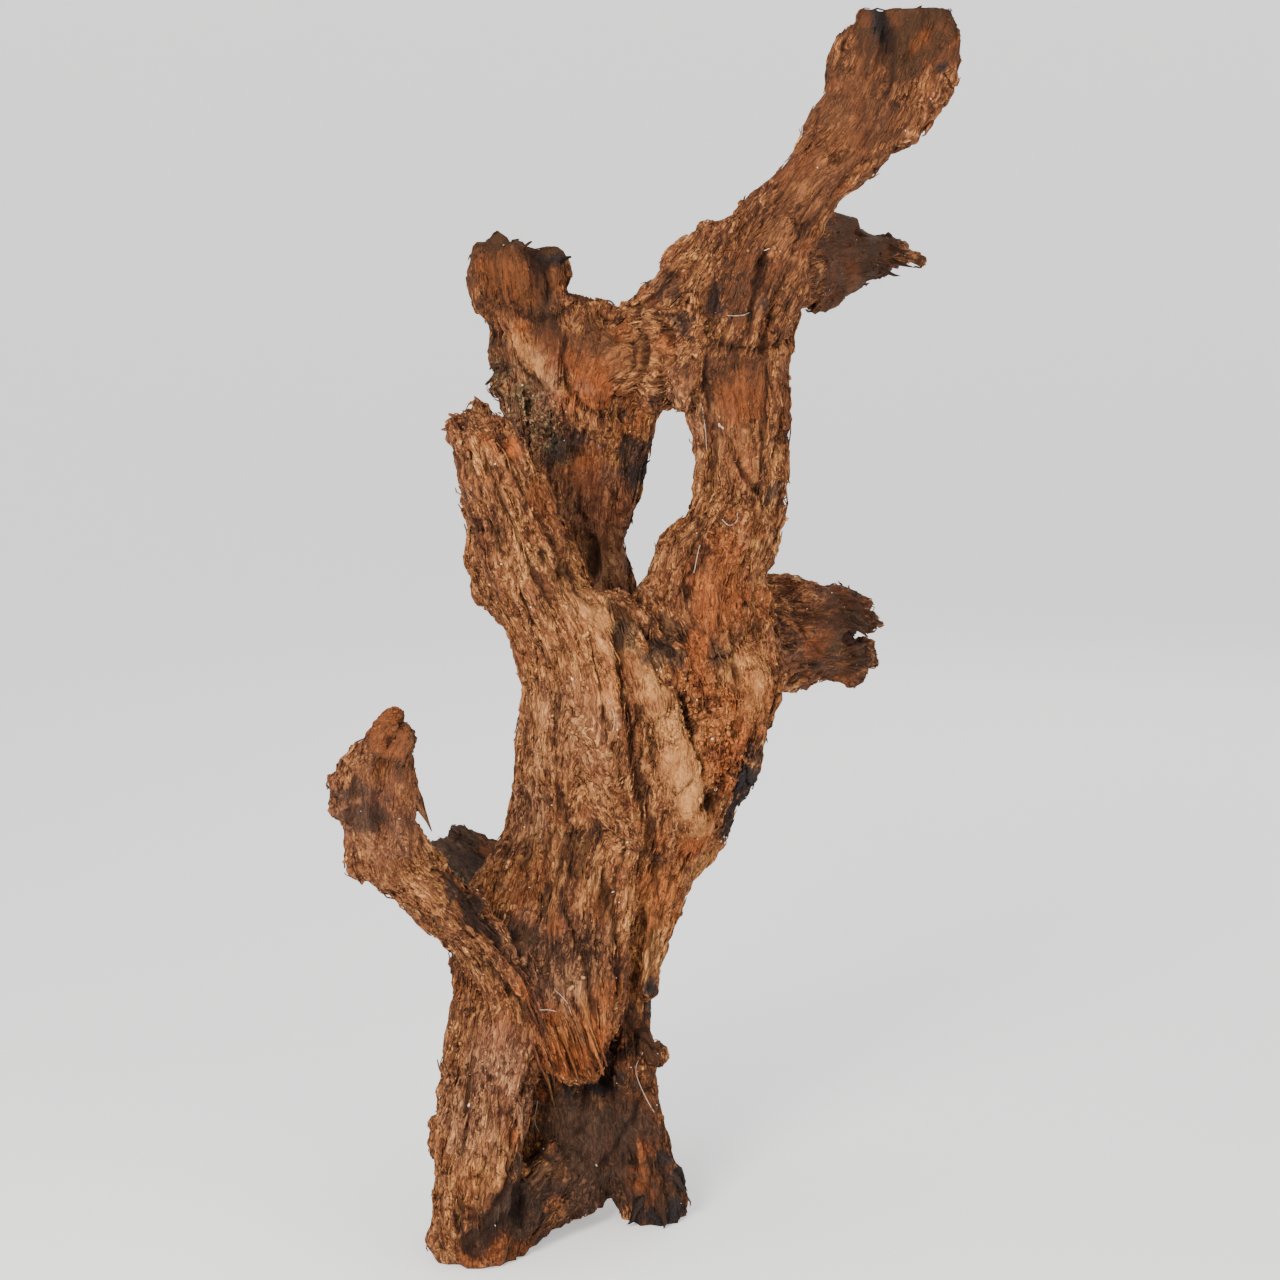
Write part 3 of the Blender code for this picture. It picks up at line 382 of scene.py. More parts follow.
        (-96, 690, 40, 7, 0.4), (26, 670, 6, 6, 0.6), (-44, 664, 24, 5, 0.5), (84, 444, -20, 8, 0.5),
        (-104, 236, -80, 6, 0.6), (-90, 232, -60, 7, 0.6), (-76, 222, -60, 6, 0.5), (-66, 214, -55, 5, 0.5),
        (-58, 664, 28, 8, 0.5), (-66, 652, 26, 6, 0.4), (4, 668, 16, 6, 0.5), (-2, 676, 24, 6, 0.5),
        (-108, 520, -96, 7, 0.5), (-104, 508, -94, 6, 0.5), (-118, 262, -90, 16, 0.9),
        (-118, 262, 40, 18, 0.9), (-126, 278, 80, 22, 0.9),
    ],
    "thin": [
        (-184, 316, -186, 22, 1), (-180, 340, -196, 18, 0.8),
    ],
    "painted_soft_shade": [
        (150, 820, -44, 50, 0.4), (190, 880, -58, 44, 0.9), (110, 750, -30, 40, 0.3), (-84, 715, 40, 46, 1),
        (-80, 690, 40, 32, 1), (160, 712, 140, 70, 0.75), (120, 700, 90, 50, 0.65),
        (150, 446, 150, 60, 0.55), (110, 440, 110, 40, 0.3), (-130, 290, 90, 54, 1), (-104, 262, 60, 44, 1),
        (16, 60, -24, 44, 0.75), (2, 110, -10, 34, 0.6), (-24, 530, 46, 40, 0.2), (-76, 590, 30, 36, 0.5),
        (80, 690, -20, 36, 0.4), (-186, 330, -190, 34, 0.2), (-176, 372, -216, 24, 1),
        (-70, 20, -90, 34, 0.5), (-6, 160, -20, 24, 0.6), (8, 158, -10, 16, 0.9), (-104, 640, 40, 26, 0.5),
        (-88, 600, 40, 30, 0.4), (68, 624, -16, 28, 0.6), (-30, 640, 16, 30, 0.3), (-64, 664, 28, 13, 0.7),
        (-110, 20, -116, 20, 0.6), (-64, 190, -60, 20, 0.5), (-40, 230, -50, 24, 0.5),
        (-20, 200, -40, 20, 0.4), (66, 610, -16, 20, 0.3), (16, 44, -24, 24, 0.4), (0, 330, 100, 40, 0.4),
        (-60, 120, 120, 50, 0.5), (-70, 420, 60, 40, 0.5), (-100, 715, 40, 40, 0.5),
        (-188, 388, -216, 26, 0.6), (-174, 360, -210, 18, 0.3), (-124, 268, 70, 40, 0.7),
        (-110, 246, 40, 26, 0.8), (-80, 30, -100, 30, 0.9), (-94, 44, -108, 20, 0.5),
        (-60, 205, -40, 34, 0.35), (-86, 232, -20, 16, 0.9), (-84, 692, 40, 30, 1),
        (-172, 376, -210, 24, 1),
    ],
    "crumbly": [
        (42, 392, -36, 20, 1), (56, 372, -32, 20, 1), (66, 352, -24, 18, 1), (60, 402, -30, 16, 0.9),
        (52, 340, -34, 12, 0.8), (40, 412, -34, 12, 0.8), (-96, 588, -116, 18, 0.8),
        (-14, 682, 26, 10, 0.5), (30, 676, 4, 16, 0.8), (50, 664, -4, 12, 0.6), (54, 630, -14, 10, 0.4),
        (60, 540, -20, 18, 0.6), (62, 520, -20, 16, 0.5), (-74, 592, 28, 20, 0.9),
        (-178, 366, -216, 14, 0.3), (-90, 236, -50, 12, 0.5), (-46, 220, -50, 26, 0.5),
        (-16, 160, -26, 14, 0.7), (90, 714, -26, 12, 0.3), (-40, 380, 110, 26, 0.7),
        (-30, 250, 130, 22, 0.6),
    ],
    "smooth": [
        (190, 870, -55, 50, 0.9), (150, 815, -40, 44, 0.9), (118, 765, -30, 34, 0.8),
        (94, 715, -20, 30, 0.7), (70, 680, -16, 20, 0.6), (-86, 720, 40, 40, 0.7), (150, 712, 130, 70, 0.9),
        (140, 446, 140, 50, 0.6), (70, 620, -16, 34, 0.7), (-64, 650, 24, 26, 0.8), (64, 580, -16, 26, 0.6),
        (26, 356, -50, 16, 1), (36, 328, -46, 14, 1), (10, 400, -50, 13, 0.95), (-28, 644, 16, 28, 1),
        (-40, 90, -14, 36, 0.7), (-34, 560, 38, 22, 0.5), (-30, 500, 44, 30, 0.7), (34, 624, -18, 10, 0.8),
        (-116, 270, 76, 36, 0.7), (-184, 320, -186, 34, 0.85), (-178, 350, -200, 26, 0.85),
        (-182, 290, -160, 26, 0.7), (14, 640, 8, 14, 0.7), (-96, 580, -112, 20, 0.4),
        (44, 306, -42, 12, 0.95), (-2, 424, -50, 12, 0.7),
    ],
    "grey": [
        (-60, 205, -40, 28, 0.8), (-84, 230, -50, 24, 1), (-100, 150, -100, 26, 0.8),
        (-116, 110, -110, 34, 0.6), (-10, 490, 10, 50, 0.9), (-30, 470, 30, 50, 0.9),
        (-30, 540, 44, 34, 0.7), (30, 600, 4, 30, 0.5), (-50, 380, -44, 40, 0.3), (-80, 320, -44, 30, 0.5),
        (-76, 600, 30, 36, 0.8), (-84, 120, -90, 26, 0.8), (-40, 230, -46, 26, 0.5),
        (-188, 320, -188, 34, 0.5), (30, 60, -20, 40, 0.3),
    ],
}

# A patch fades between these shares of its radius, and is worked out as far as the limit.
PATCH_EDGE = (0.55, 1.25)
PATCH_LIMIT = 2.5
# Seeds of the random draws: the kinds of strands and lumps count up from theirs.
STRAND_SEED = 70
LUMP_SEED = 80
SHARD_SEED = 90
CHIP_SEED = 95
# Rays that look for the wood: how many surfaces they meet at most, the step past each, and how far the
# first may lie from the written depth, in metres.
RAY_HITS = 8
RAY_STEP = 1e-4
RAY_REACH = 0.06
# Drawn lines: their points' spacing, how far from them their rise is worked out and where it fades.
LINE_SPACING = 0.002
LINE_MARGIN = 0.02
LINE_FADE = 0.016
# Points worked on at a time.
BATCH = 4000

# Where a shard, chip or rootlet has no depth of its own, it is looked for from here, in millimetres.
FRONT_DEPTH = -40.0
# How deep the feet of the shards are sunk, and how near the skin they have to start, in metres.
SHARD_SUNK = 0.0022
SHARD_REACH = 0.006

# Strands that lie on the skin: how many, length, half width and height ranges in metres, how far the
# last end stands off, sideways sway, and the range of their lightness.
STRANDS = {
    "fine_fibres": (
        5000, (0.006, 0.024), (0.00026, 0.00052), (0.00030, 0.00070), 0.0012, 0.14, (-0.05, 0.14)
    ),
    "fibre_bundles": (
        3400, (0.010, 0.034), (0.00045, 0.00105), (0.00045, 0.00100), 0.0010, 0.10, (-0.06, 0.06)
    ),
    "bark_flakes": (
        3600, (0.005, 0.016), (0.00080, 0.00200), (0.00045, 0.00095), 0.0022, 0.12, (-0.07, 0.06)
    ),
}
# How much fewer strands lie where these masks are full.
STRANDS_AVOID = {"smooth": 0.88, "hollow_shade_and_dirt": 0.7, "cavity": 0.8, "lichen": 0.6, "charred": 0.7}
STRAND_RINGS = 6
STRAND_SUNK = 0.0005
# How often the nearest point of the skin is looked for from neighbour to neighbour, and how far a
# strand's place may lie from it, in metres.
WALK_LOOKS = 4
WALK_REACH = 0.004
# Keeps a division by a length from failing.
TINY = 1e-9

# Dry rootlets: places (across, up), radius in millimetres and how far they stand off the wood.
ROOTLETS = {
    "long_hair": ([(2, 152), (-3, 141), (0, 129), (8, 113), (14, 105)], 0.32, 1.2),
    "small_dash": ([(-70, 182), (-64, 183), (-59, 182)], 0.35, 1.0),
    "tan_curl": ([(58, 527), (63, 523), (68, 526), (69, 532)], 0.40, 1.4),
    "thin_fibre": ([(42, 509), (40, 500), (38, 490)], 0.35, 1.0),
    "pink_arc": ([(53, 673), (62, 671), (72, 671), (77, 673)], 0.35, 1.2),
    "short_pink": ([(86, 716), (91, 718)], 0.40, 1.0),
    "tip_whisker": ([(-166, 381), (-161, 379), (-152, 380)], 0.28, 0.5),
    "twig_hair": ([(-60, 196), (-52, 188), (-48, 178)], 0.25, 1.2),
    "column_hair": ([(44, 606), (46, 590), (47, 576)], 0.30, 0.8),
    "ridge_hair": ([(-22, 400), (-18, 388), (-19, 378)], 0.28, 1.0),
    "limb_hair": ([(-106, 540), (-98, 528), (-88, 518)], 0.26, 1.0),
    "foot_hair": ([(-72, 118), (-74, 104), (-71, 96)], 0.24, 0.8),
}
# One rootlet is curled to a ring: (across, up, half width, half height, radius).
RING_HAIR = (-16, 163, 3.9, 2.7, 0.40)
RING_HAIR_TURN = 1.94 * math.pi
RING_HAIR_OFF = 0.0014
ROOTLET_RINGS = 18
ROOTLET_SPACING = 0.001
# How far a rootlet may leave the depth of its first place, in metres for each millimetre seen.
ROOTLET_SLOPE = 0.0007
# The share of their radius that rootlets are sunk, and their lightness and whiteness.
ROOTLET_SUNK = 0.6
ROOTLET_TONES = (0.3, 0.6)

# Pale chips: (across, up, size in millimetres, whiteness).
CHIPS = [
    (20, 628, 3.4, 1), (20, 631, 2.6, 1), (56, 594, 4.2, 0.7), (58, 592, 3.4, 0.7), (51, 373, 2.9, 1),
    (53, 337, 2.9, 1), (50, 376, 2.1, 0.9), (-48, 415, 2.3, 0.9), (-37, 447, 2.1, 0.9),
    (-178, 347, 3.4, 1), (-176, 343, 2.6, 0.9), (-168, 333, 2.3, 0.9), (-120, 115, 2.9, 0.9),
    (-68, 84, 1.8, 0.9), (-19, 265, 2.6, 0.8), (-95, 586, 1.6, 0.9), (-104, 579, 1.8, 0.9),
    (-108, 590, 1.3, 0.8), (-115, 94, 1.8, 0.8), (-54, 134, 2.1, 0.8), (-45, 132, 1.8, 0.9),
    (-62, 389, 1.8, 0.8), (-16, 379, 2.1, 0.9), (-15, 374, 2.1, 0.9), (-78, 420, 1.6, 0.8),
    (-9, 300, 1.6, 0.9), (-8, 292, 1.8, 0.9), (15, 420, 1.6, 0.8), (40, 400, 1.8, 0.8),
    (64, 345, 1.6, 0.9),
]
# Strewn lumps: how many, size range in metres, which patch they gather in, how white, and lightness.
LUMPS = {
    "crumbs": (2200, (0.0006, 0.0020), "crumbly", 0.0, (-0.10, 0.12)),
    "grit": (420, (0.00035, 0.0008), None, 0.85, (0.1, 0.3)),
    "lichen_specks": (500, (0.0006, 0.0016), "lichen", 0.0, (0.0, 0.2)),
}
CHIP_LIFT = 0.2
LUMP_POINTS = 12
LUMP_STRETCH = (1.3, 0.9, 0.55)

# The cells of seeded random numbers repeat after this many, each way. TABLES holds them by seed.
CELLS = 64
TABLES = {}

# The relief of the grain, in metres: the width of each kind of wave or cell, then its depth, or the
# step between neighbouring cells and the groove that parts them.
FLUTE_WIDTH, FLUTE_DEPTH = 0.027, 0.0050
BROAD_WIDTH, BROAD_DEPTH = 0.014, 0.0026
NARROW_WIDTH, NARROW_DEPTH = 0.0064, 0.0019
FINE_WIDTH, FINE_DEPTH = 0.0034, 0.0006
CRACK_WIDTH, CRACK_DEPTH = 0.0105, 0.0022
SPLIT_WIDTH, SPLIT_DEPTH = 0.021, 0.0042
BUNDLE_WIDTH, BUNDLE_STEP, BUNDLE_GROOVE = 0.0075, 0.0013, 0.0012
BLOCK_WIDTH, BLOCK_STEP, BLOCK_GROOVE = 0.0064, 0.0034, 0.0030
FLAKE_WIDTH, FLAKE_STEP, FLAKE_GROOVE = 0.0042, 0.0008, 0.0010
WARP_WIDTH, WARP_REACH = 0.010, 0.0017
# The deepest cut, the depth at which the painted shade of a cut is fully dark, and how far a thin wall is
# thickened.
DEEPEST_CUT = 0.008
DARKEST_CUT = 0.0036
THIN_GAIN = 0.0018

# Growth rings of the burl.
RING_CENTRE = (-26, 643, 14)
RING_REACH = 0.031
RING_SPACING = 0.0046
RING_DEPTH = 0.0013

# Points of the solid or the floor that lie nearer than this, in metres, are made one.
JOIN_WITHIN = 1e-6

# The grain in the material: how many bundles and hairs fit in a metre, how far they are bent, and how
# high they stand.
BUNDLES_A_METRE = 290.0
HAIRS_A_METRE = 840.0
GRAIN_BEND = (0.0042, 0.0042, 0.0042)
BUMP_HEIGHT = 0.0015

# Rounds of the solvers that unroll the grain, and of the softening of points and normals.
COARSE_ROUNDS = 700
FINE_ROUNDS = 40
POINT_ROUNDS = 3
NORMAL_ROUNDS = 6
MOST_NEIGHBOURS = 14

# The stage, in metres, and its lights: place, size, power and tint.
FLOOR_RADIUS = 3.2
FLOOR_RINGS = 12
FLOOR_SIDES = 96
BEND_RINGS = 14
WALL_CURVE = 1.4
WALL_HEIGHT = 3.6
WALL_RINGS = 4
FLOOR_FINISH = {
    "Base Color": (0.86, 0.86, 0.85, 1.0),
    "Roughness": 0.95,
    "Emission Color": (1.0, 1.0, 1.0, 1.0),
    "Emission Strength": 0.4,
}
LIGHTS = {
    "key": ((-0.52, -1.18, 0.92), 0.42, 26.0, (1.0, 0.965, 0.92)),
    "fill": ((1.9, -1.9, 0.9), 1.6, 17.0, (1.0, 0.95, 0.9)),
    "top": ((0.2, 0.4, 2.9), 1.6, 22.0, (0.96, 0.98, 1.0)),
    "back": ((0.9, 2.4, 1.8), 1.4, 20.0, (1.0, 0.98, 0.96)),
}
SKY_TINT = (0.95, 0.97, 1.0, 1.0)
SKY_STRENGTH = 0.55


def sighted(places):
    """The points in metres seen at (across, up) on the picture plane, at their depths."""
    places = np.asarray(places, float)
    rays = (
        EYE_DISTANCE * AHEAD
        + places[:, :1] * PICTURE_MM * ACROSS
        + (PICTURE_FOOT + places[:, 1:2] * PICTURE_MM) * ABOVE
    )
    reach = (places[:, 2] / MM_PER_M - EYE[1]) / rays[:, 1]
    return EYE + reach[:, None] * rays


def on_wood(places, tree):
    """The points of the wood seen at (across, up), as near as can be to their depths.

    The first point met is taken or, where that lies far from the written depth, the nearest to it.
    """
    points = sighted(places)
    eye = Vector(EYE)
    found = points.copy()
    for i, point in enumerate(points):
        way = (Vector(point) - eye).normalized()
        start, met = eye, []
        for _ in range(RAY_HITS):
            hit = tree.ray_cast(start, way)[0]
            if hit is None:
                break
            met.append(hit)
            start = hit + way * RAY_STEP
        if met and (met[0] - Vector(point)).length < RAY_REACH:
            found[i] = met[0]
        elif met:
            found[i] = min(met, key=lambda place: (place - Vector(point)).length)
    return found


def on_front(places, tree):
    """The points of the wood seen at (across, up), whose depths aren't written."""
    places = np.asarray(places, float)
    return on_wood(np.column_stack([places, np.full(len(places), FRONT_DEPTH)]), tree)


def unit(ways):
    """Directions made one long."""
    return ways / np.maximum(np.linalg.norm(ways, axis=-1, keepdims=True), 1e-12)


def eased(low, high, values):
    """0 below low, 1 above high, and a smooth S between."""
    t = np.clip((values - low) / (high - low), 0.0, 1.0)
    return t * t * (3.0 - 2.0 * t)


def strewn(seed):
    """Three random numbers for each cell of a repeating block of cells, the same each run."""
    if seed not in TABLES:
        TABLES[seed] = np.random.default_rng(seed).random((CELLS**3, 3))
    return TABLES[seed]


def cell_number(cells):
    cells = cells % CELLS
    return (cells[..., 0] * CELLS + cells[..., 1]) * CELLS + cells[..., 2]


def ripple(places, size, seed=0):
    """Smooth noise from about -1 to 1 with waves of this size.

    Each corner of a grid of cubes pushes in its own direction, and the pushes are blended by an S-curve.
    """
    scaled = places / size
    cell = np.floor(scaled).astype(np.int64)
    inside = scaled - cell
    ease = inside**3 * (inside * (inside * 6.0 - 15.0) + 10.0)
    pushes = strewn(seed) * 2.0 - 1.0
    total = np.zeros(len(places))
    for corner in itertools.product((0, 1), repeat=3):
        push = pushes[cell_number(cell + corner)]
        share = [ease[:, k] if corner[k] else 1.0 - ease[:, k] for k in range(3)]
        total += share[0] * share[1] * share[2] * np.einsum("ij,ij->i", push, inside - corner)
    return total * 2.2


def scattered(places, size, seed=0):
    """Distances to the nearest and the next of points strewn one to a cube, and the nearest's number."""
    scaled = places / size
    cell = np.floor(scaled).astype(np.int64)
    own = strewn(seed)
    near = np.full(len(places), 9.0)
    after = np.full(len(places), 9.0)
    number = np.zeros(len(places))
    for step in itertools.product((-1, 0, 1), repeat=3):
        home = own[cell_number(cell + step)]
        away = home + (cell + step) - scaled
        apart = np.sqrt(np.einsum("ij,ij->i", away, away))
        closer = apart < near
        after = np.where(closer, near, np.minimum(after, apart))
        number = np.where(closer, home[:, 0], number)
        near = np.where(closer, apart, near)
    return near, after, number


def curve_rows(rows, spacing):
    """Rows of numbers through the given ones on Catmull-Rom curves, about spacing apart."""
    rows = np.asarray(rows, float)
    padded = np.vstack([2 * rows[0] - rows[1], rows, 2 * rows[-1] - rows[-2]])
    made = []
    for i in range(1, len(padded) - 2):
        p0, p1, p2, p3 = padded[i - 1 : i + 3]
        count = max(2, int(np.linalg.norm(p2[:3] - p1[:3]) / spacing))
        t = np.arange(count)[:, None] / count
        made.append(0.5 * (2 * p1 + (p2 - p0) * t + (2 * p0 - 5 * p1 + 4 * p2 - p3) * t**2
                           + (3 * p1 - p0 - 3 * p2 + p3) * t**3))
    return np.vstack([*made, padded[-2:-1]])


def grain_samples():
    """Points along all grain lines, the direction of the grain at each, and how far each reaches."""
    points, tangents, reach = [], [], []
    for rows in GRAIN_LINES.values():
        rows = np.asarray(rows, float)
        line = np.hstack([sighted(rows), rows[:, 3:] / MM_PER_M])
        line = curve_rows(line, GRAIN_SPACING)
        points.append(line[:, :3])
        tangents.append(unit(np.gradient(line[:, :3], axis=0)))
        reach.append(line[:, 3])
    return np.vstack(points), np.vstack(tangents), np.concatenate(reach)


def grain_at(points):
    """The grain direction at each point: the lines' directions, weighted by a bell of the distance."""
    places, tangents, reach = grain_samples()
    points32, places32 = points.astype(np.float32), places.astype(np.float32)
    tangents32, sharp = tangents.astype(np.float32), (-3.0 / reach**2).astype(np.float32)
    square = (places32**2).sum(axis=1)
    grain = np.empty(points.shape, np.float32)
    for i in range(0, len(points), BATCH):
        some = points32[i : i + BATCH]
        gap = (some**2).sum(axis=1)[:, None] + square - 2.0 * some @ places32.T
        grain[i : i + BATCH] = (np.exp(gap * sharp) + np.float32(1e-12)) @ tangents32
    return unit(grain.astype(float))


def squeezed(steps, grain):
    """Steps shortened along the grain to its share, and kept across it."""
    return steps - (1.0 - GRAIN_SHARE) * (steps * grain).sum(axis=1, keepdims=True) * grain


def neighbour_sums(count, edges):
    """A function that adds up, for each point, the values of its edges, signed by their direction."""
    start, end = edges.T

    def summed(values):
        total = np.empty((count, values.shape[1]))
        for k in range(values.shape[1]):
            total[:, k] = (np.bincount(end, values[:, k], count) - np.bincount(start, values[:, k], count))
        return total

    return summed


def unrolled(points, edges, grain, first, rounds):
    """Places whose steps along every edge are, in the least squares sense, the squeezed edge.

    Solved by conjugate gradients, from the places given first.
    """
    start, end = edges.T
    side = np.where((grain[start] * grain[end]).sum(axis=1) < 0.0, -1.0, 1.0)[:, None]
    wanted = squeezed(points[end] - points[start], unit(grain[start] + side * grain[end]))
    summed = neighbour_sums(len(points), edges)
    places = first.copy()
    rest = summed(wanted - (places[end] - places[start]))
    way = rest.copy()
    size = (rest**2).sum()
    for _ in range(rounds):
        pulled = summed(way[end] - way[start])
        step = size / max((way * pulled).sum(), 1e-30)
        places += step * way
        rest -= step * pulled
        size, last = (rest**2).sum(), size
        way = rest + size / max(last, 1e-30) * way
    return places


def read_rows(rows, name, width=1, kind=float):
    """One property of all points, edges, faces or corners of a mesh, as an array."""
    flat = np.empty(len(rows) * width, kind)
    rows.foreach_get(name, flat)
    return flat.reshape(-1, width) if width > 1 else flat


def mesh_points(mesh):
    return read_rows(mesh.vertices, "co", 3)


def mesh_normals(mesh):
    return read_rows(mesh.vertex_normals, "vector", 3)


def mesh_edges(mesh):
    return read_rows(mesh.edges, "vertices", 2, np.int64)


def keep_on_points(mesh, name, values):
    """Stores numbers or vectors on the mesh's points under a name that materials read."""
    kind = "FLOAT" if values.ndim == 1 else "FLOAT_VECTOR"
    made = mesh.attributes.new(name, kind, "POINT")
    made.data.foreach_set("value" if values.ndim == 1 else "vector", values.astype(np.float32).ravel())


def read_points(mesh, name):
    held = mesh.attributes[name]
    value, width = ("value", 1) if held.data_type == "FLOAT" else ("vector", 3)
    return read_rows(held.data, value, width, np.float32).astype(float)


def new_object(name, mesh):
    made = bpy.data.objects.new(name, mesh)
    bpy.context.scene.collection.objects.link(made)
    return made


def with_modifiers(obj):
    """Applies the object's modifiers to its mesh."""
    bpy.context.view_layer.update()
    graph = bpy.context.evaluated_depsgraph_get()
    mesh = bpy.data.meshes.new_from_object(obj.evaluated_get(graph))
    old = obj.data
    obj.modifiers.clear()
    obj.data = mesh
    bpy.data.meshes.remove(old)


def patch_amounts(points, tree):
    """How much of each kind of patch each point has: the largest of its soft balls, with uneven edges."""
    uneven = 1.0 + 0.45 * ripple(points, 0.011, 31) + 0.3 * ripple(points, 0.004, 32)
    amounts = {}
    for name, rows in PATCHES.items():
        rows = np.asarray(rows, float)
        amount = np.zeros(len(points))
        for centre, radius, full in zip(on_wood(rows, tree), rows[:, 3] / MM_PER_M, rows[:, 4]):
            near = np.flatnonzero((np.abs(points - centre) < radius * PATCH_LIMIT).all(axis=1))
            gap = np.linalg.norm(points[near] - centre, axis=1) / radius * uneven[near]
            amount[near] = np.maximum(amount[near], full * (1.0 - eased(*PATCH_EDGE, gap)))
        amounts[name] = amount
    return amounts


def drawn_rise(points, uneven, tree):
    """The rise in metres of all drawn cracks and ridges: a bell of the distance to each line."""
    rise = np.zeros(len(points))
    for rows, half, height in DRAWN_LINES.values():
        line = curve_rows(on_wood(rows, tree), LINE_SPACING)
        low, high = line.min(axis=0) - LINE_MARGIN, line.max(axis=0) + LINE_MARGIN
        near = np.flatnonzero(((points > low) & (points < high)).all(axis=1))
        if not len(near):
            continue
        gap = np.linalg.norm(points[near, None] - line[None], axis=2)
        ends = np.minimum(gap.argmin(axis=1), len(line) - 1 - gap.argmin(axis=1)) / (0.2 * len(line))
        across = flat_gap(points[near], line, gap.argmin(axis=1))
        reach = np.exp(-((across / (half / MM_PER_M * (1.0 + 0.4 * uneven[near]))) ** 2))
        fade = np.exp(-((gap.min(axis=1) / LINE_FADE) ** 4))
        rise[near] += height / MM_PER_M * reach * fade * (0.35 + 0.65 * np.clip(ends, 0.0, 1.0))
    return rise


def flat_gap(points, line, index):
    """The distance from each point to the line's nearest point, as it is seen from the front."""
    away = points - line[index]
    away = away - (away @ AHEAD)[:, None] * AHEAD
    along = unit(np.gradient(line, axis=0))[index]
    return np.linalg.norm(away - (away * along).sum(axis=1, keepdims=True) * along * 0.9, axis=1)


def cracked(noise, half):
    """1 along the lines where a noise is 0, falling to 0 at half of it away."""
    return np.exp(-((noise / half) ** 2))


def blocky(places, width, seed, step, groove, edge):
    """The rise of cells of uneven height, with grooves between them as wide as the edge range."""
    near, after, number = scattered(places, width, seed)
    return step * (number - 0.5) - groove * (1.0 - eased(*edge, after - near))


def furrow_rise(places, points, amounts):
    """The rise in metres of the grain's own relief at unrolled places.

    Flutes, broad and narrow furrows are |noise|, which has sharp valleys and round backs. Bundles of
    fibre are cells of uneven height with a groove between. Cracks and splits follow the zero lines of
    a noise, here and there. Crumbly ground is parted into blocks of uneven height, and small flakes
    lie over all of it.
    """
    warp = WARP_REACH * np.stack([ripple(points, WARP_WIDTH, 41 + k) for k in range(3)], axis=1)
    bent = places + warp
    calm = 1.0 - 0.9 * amounts["smooth"]
    crumbly = amounts["crumbly"] * calm
    flutes = np.abs(ripple(places, FLUTE_WIDTH, 11))
    broad = np.abs(ripple(bent, BROAD_WIDTH, 1))
    narrow = np.abs(ripple(bent, NARROW_WIDTH, 2))
    fine = ripple(bent, FINE_WIDTH, 3)
    here = eased(-0.05, 0.25, ripple(places * 0.8, 0.009, 5))
    cracks = cracked(ripple(bent, CRACK_WIDTH, 4), 0.16) * here
    there = eased(0.05, 0.3, ripple(points, 0.035, 7))
    splits = cracked(ripple(bent, SPLIT_WIDTH, 6), 0.075) * there
    bundles = blocky(bent, BUNDLE_WIDTH, 10, BUNDLE_STEP, BUNDLE_GROOVE, (0.02, 0.22))
    blocks = blocky(points + warp * 2.0, BLOCK_WIDTH, 8, BLOCK_STEP, BLOCK_GROOVE, (0.03, 0.22))
    flakes = blocky(places * 1.5 + warp, FLAKE_WIDTH, 9, FLAKE_STEP, FLAKE_GROOVE, (0.02, 0.25))
    rise = FLUTE_DEPTH * (flutes - 0.28) * (1.0 - 0.65 * amounts["smooth"]) + calm * (
        BROAD_DEPTH * (broad - 0.25) + NARROW_DEPTH * (narrow - 0.3) + FINE_DEPTH * fine + bundles
        - CRACK_DEPTH * cracks - SPLIT_DEPTH * splits
    )
    return rise * (1.0 - 0.5 * crumbly) + crumbly * blocks + (0.3 * calm + 0.7 * crumbly) * flakes


def joined(source, mesh):
    """Fills a mesh with the source mesh, its points that lie together made one."""
    cage = bmesh.new()
    cage.from_mesh(source)
    bmesh.ops.remove_doubles(cage, verts=cage.verts, dist=JOIN_WITHIN)
    cage.to_mesh(mesh)
    cage.free()
    return mesh


def nearest(points, places, reach=0.03):
    """The index of the nearest place to each point, looked for within reach of the point's height."""
    found = np.empty(len(points), np.int64)
    order = np.argsort(points[:, 2])
    for part in np.array_split(order, max(1, len(points) // 3000)):
        heights = points[part, 2]
        near = np.flatnonzero((places[:, 2] > heights[0] - reach) & (places[:, 2] < heights[-1] + reach))
        square = (places[near] ** 2).sum(axis=1)
        found[part] = near[(square - 2.0 * points[part] @ places[near].T).argmin(axis=1)]
    return found


def softened(values, edges, rounds):
    """Values on points, each moved half way to the mean of its neighbours, some rounds."""
    start, end = edges.T
    count = np.bincount(start, minlength=len(values)) + np.bincount(end, minlength=len(values))
    for _ in range(rounds):
        total = np.stack([
            np.bincount(start, values[end, k], len(values)) + np.bincount(end, values[start, k], len(values))
            for k in range(values.shape[1])
        ], axis=1)
        values = 0.5 * (values + total / count[:, None])
    return values


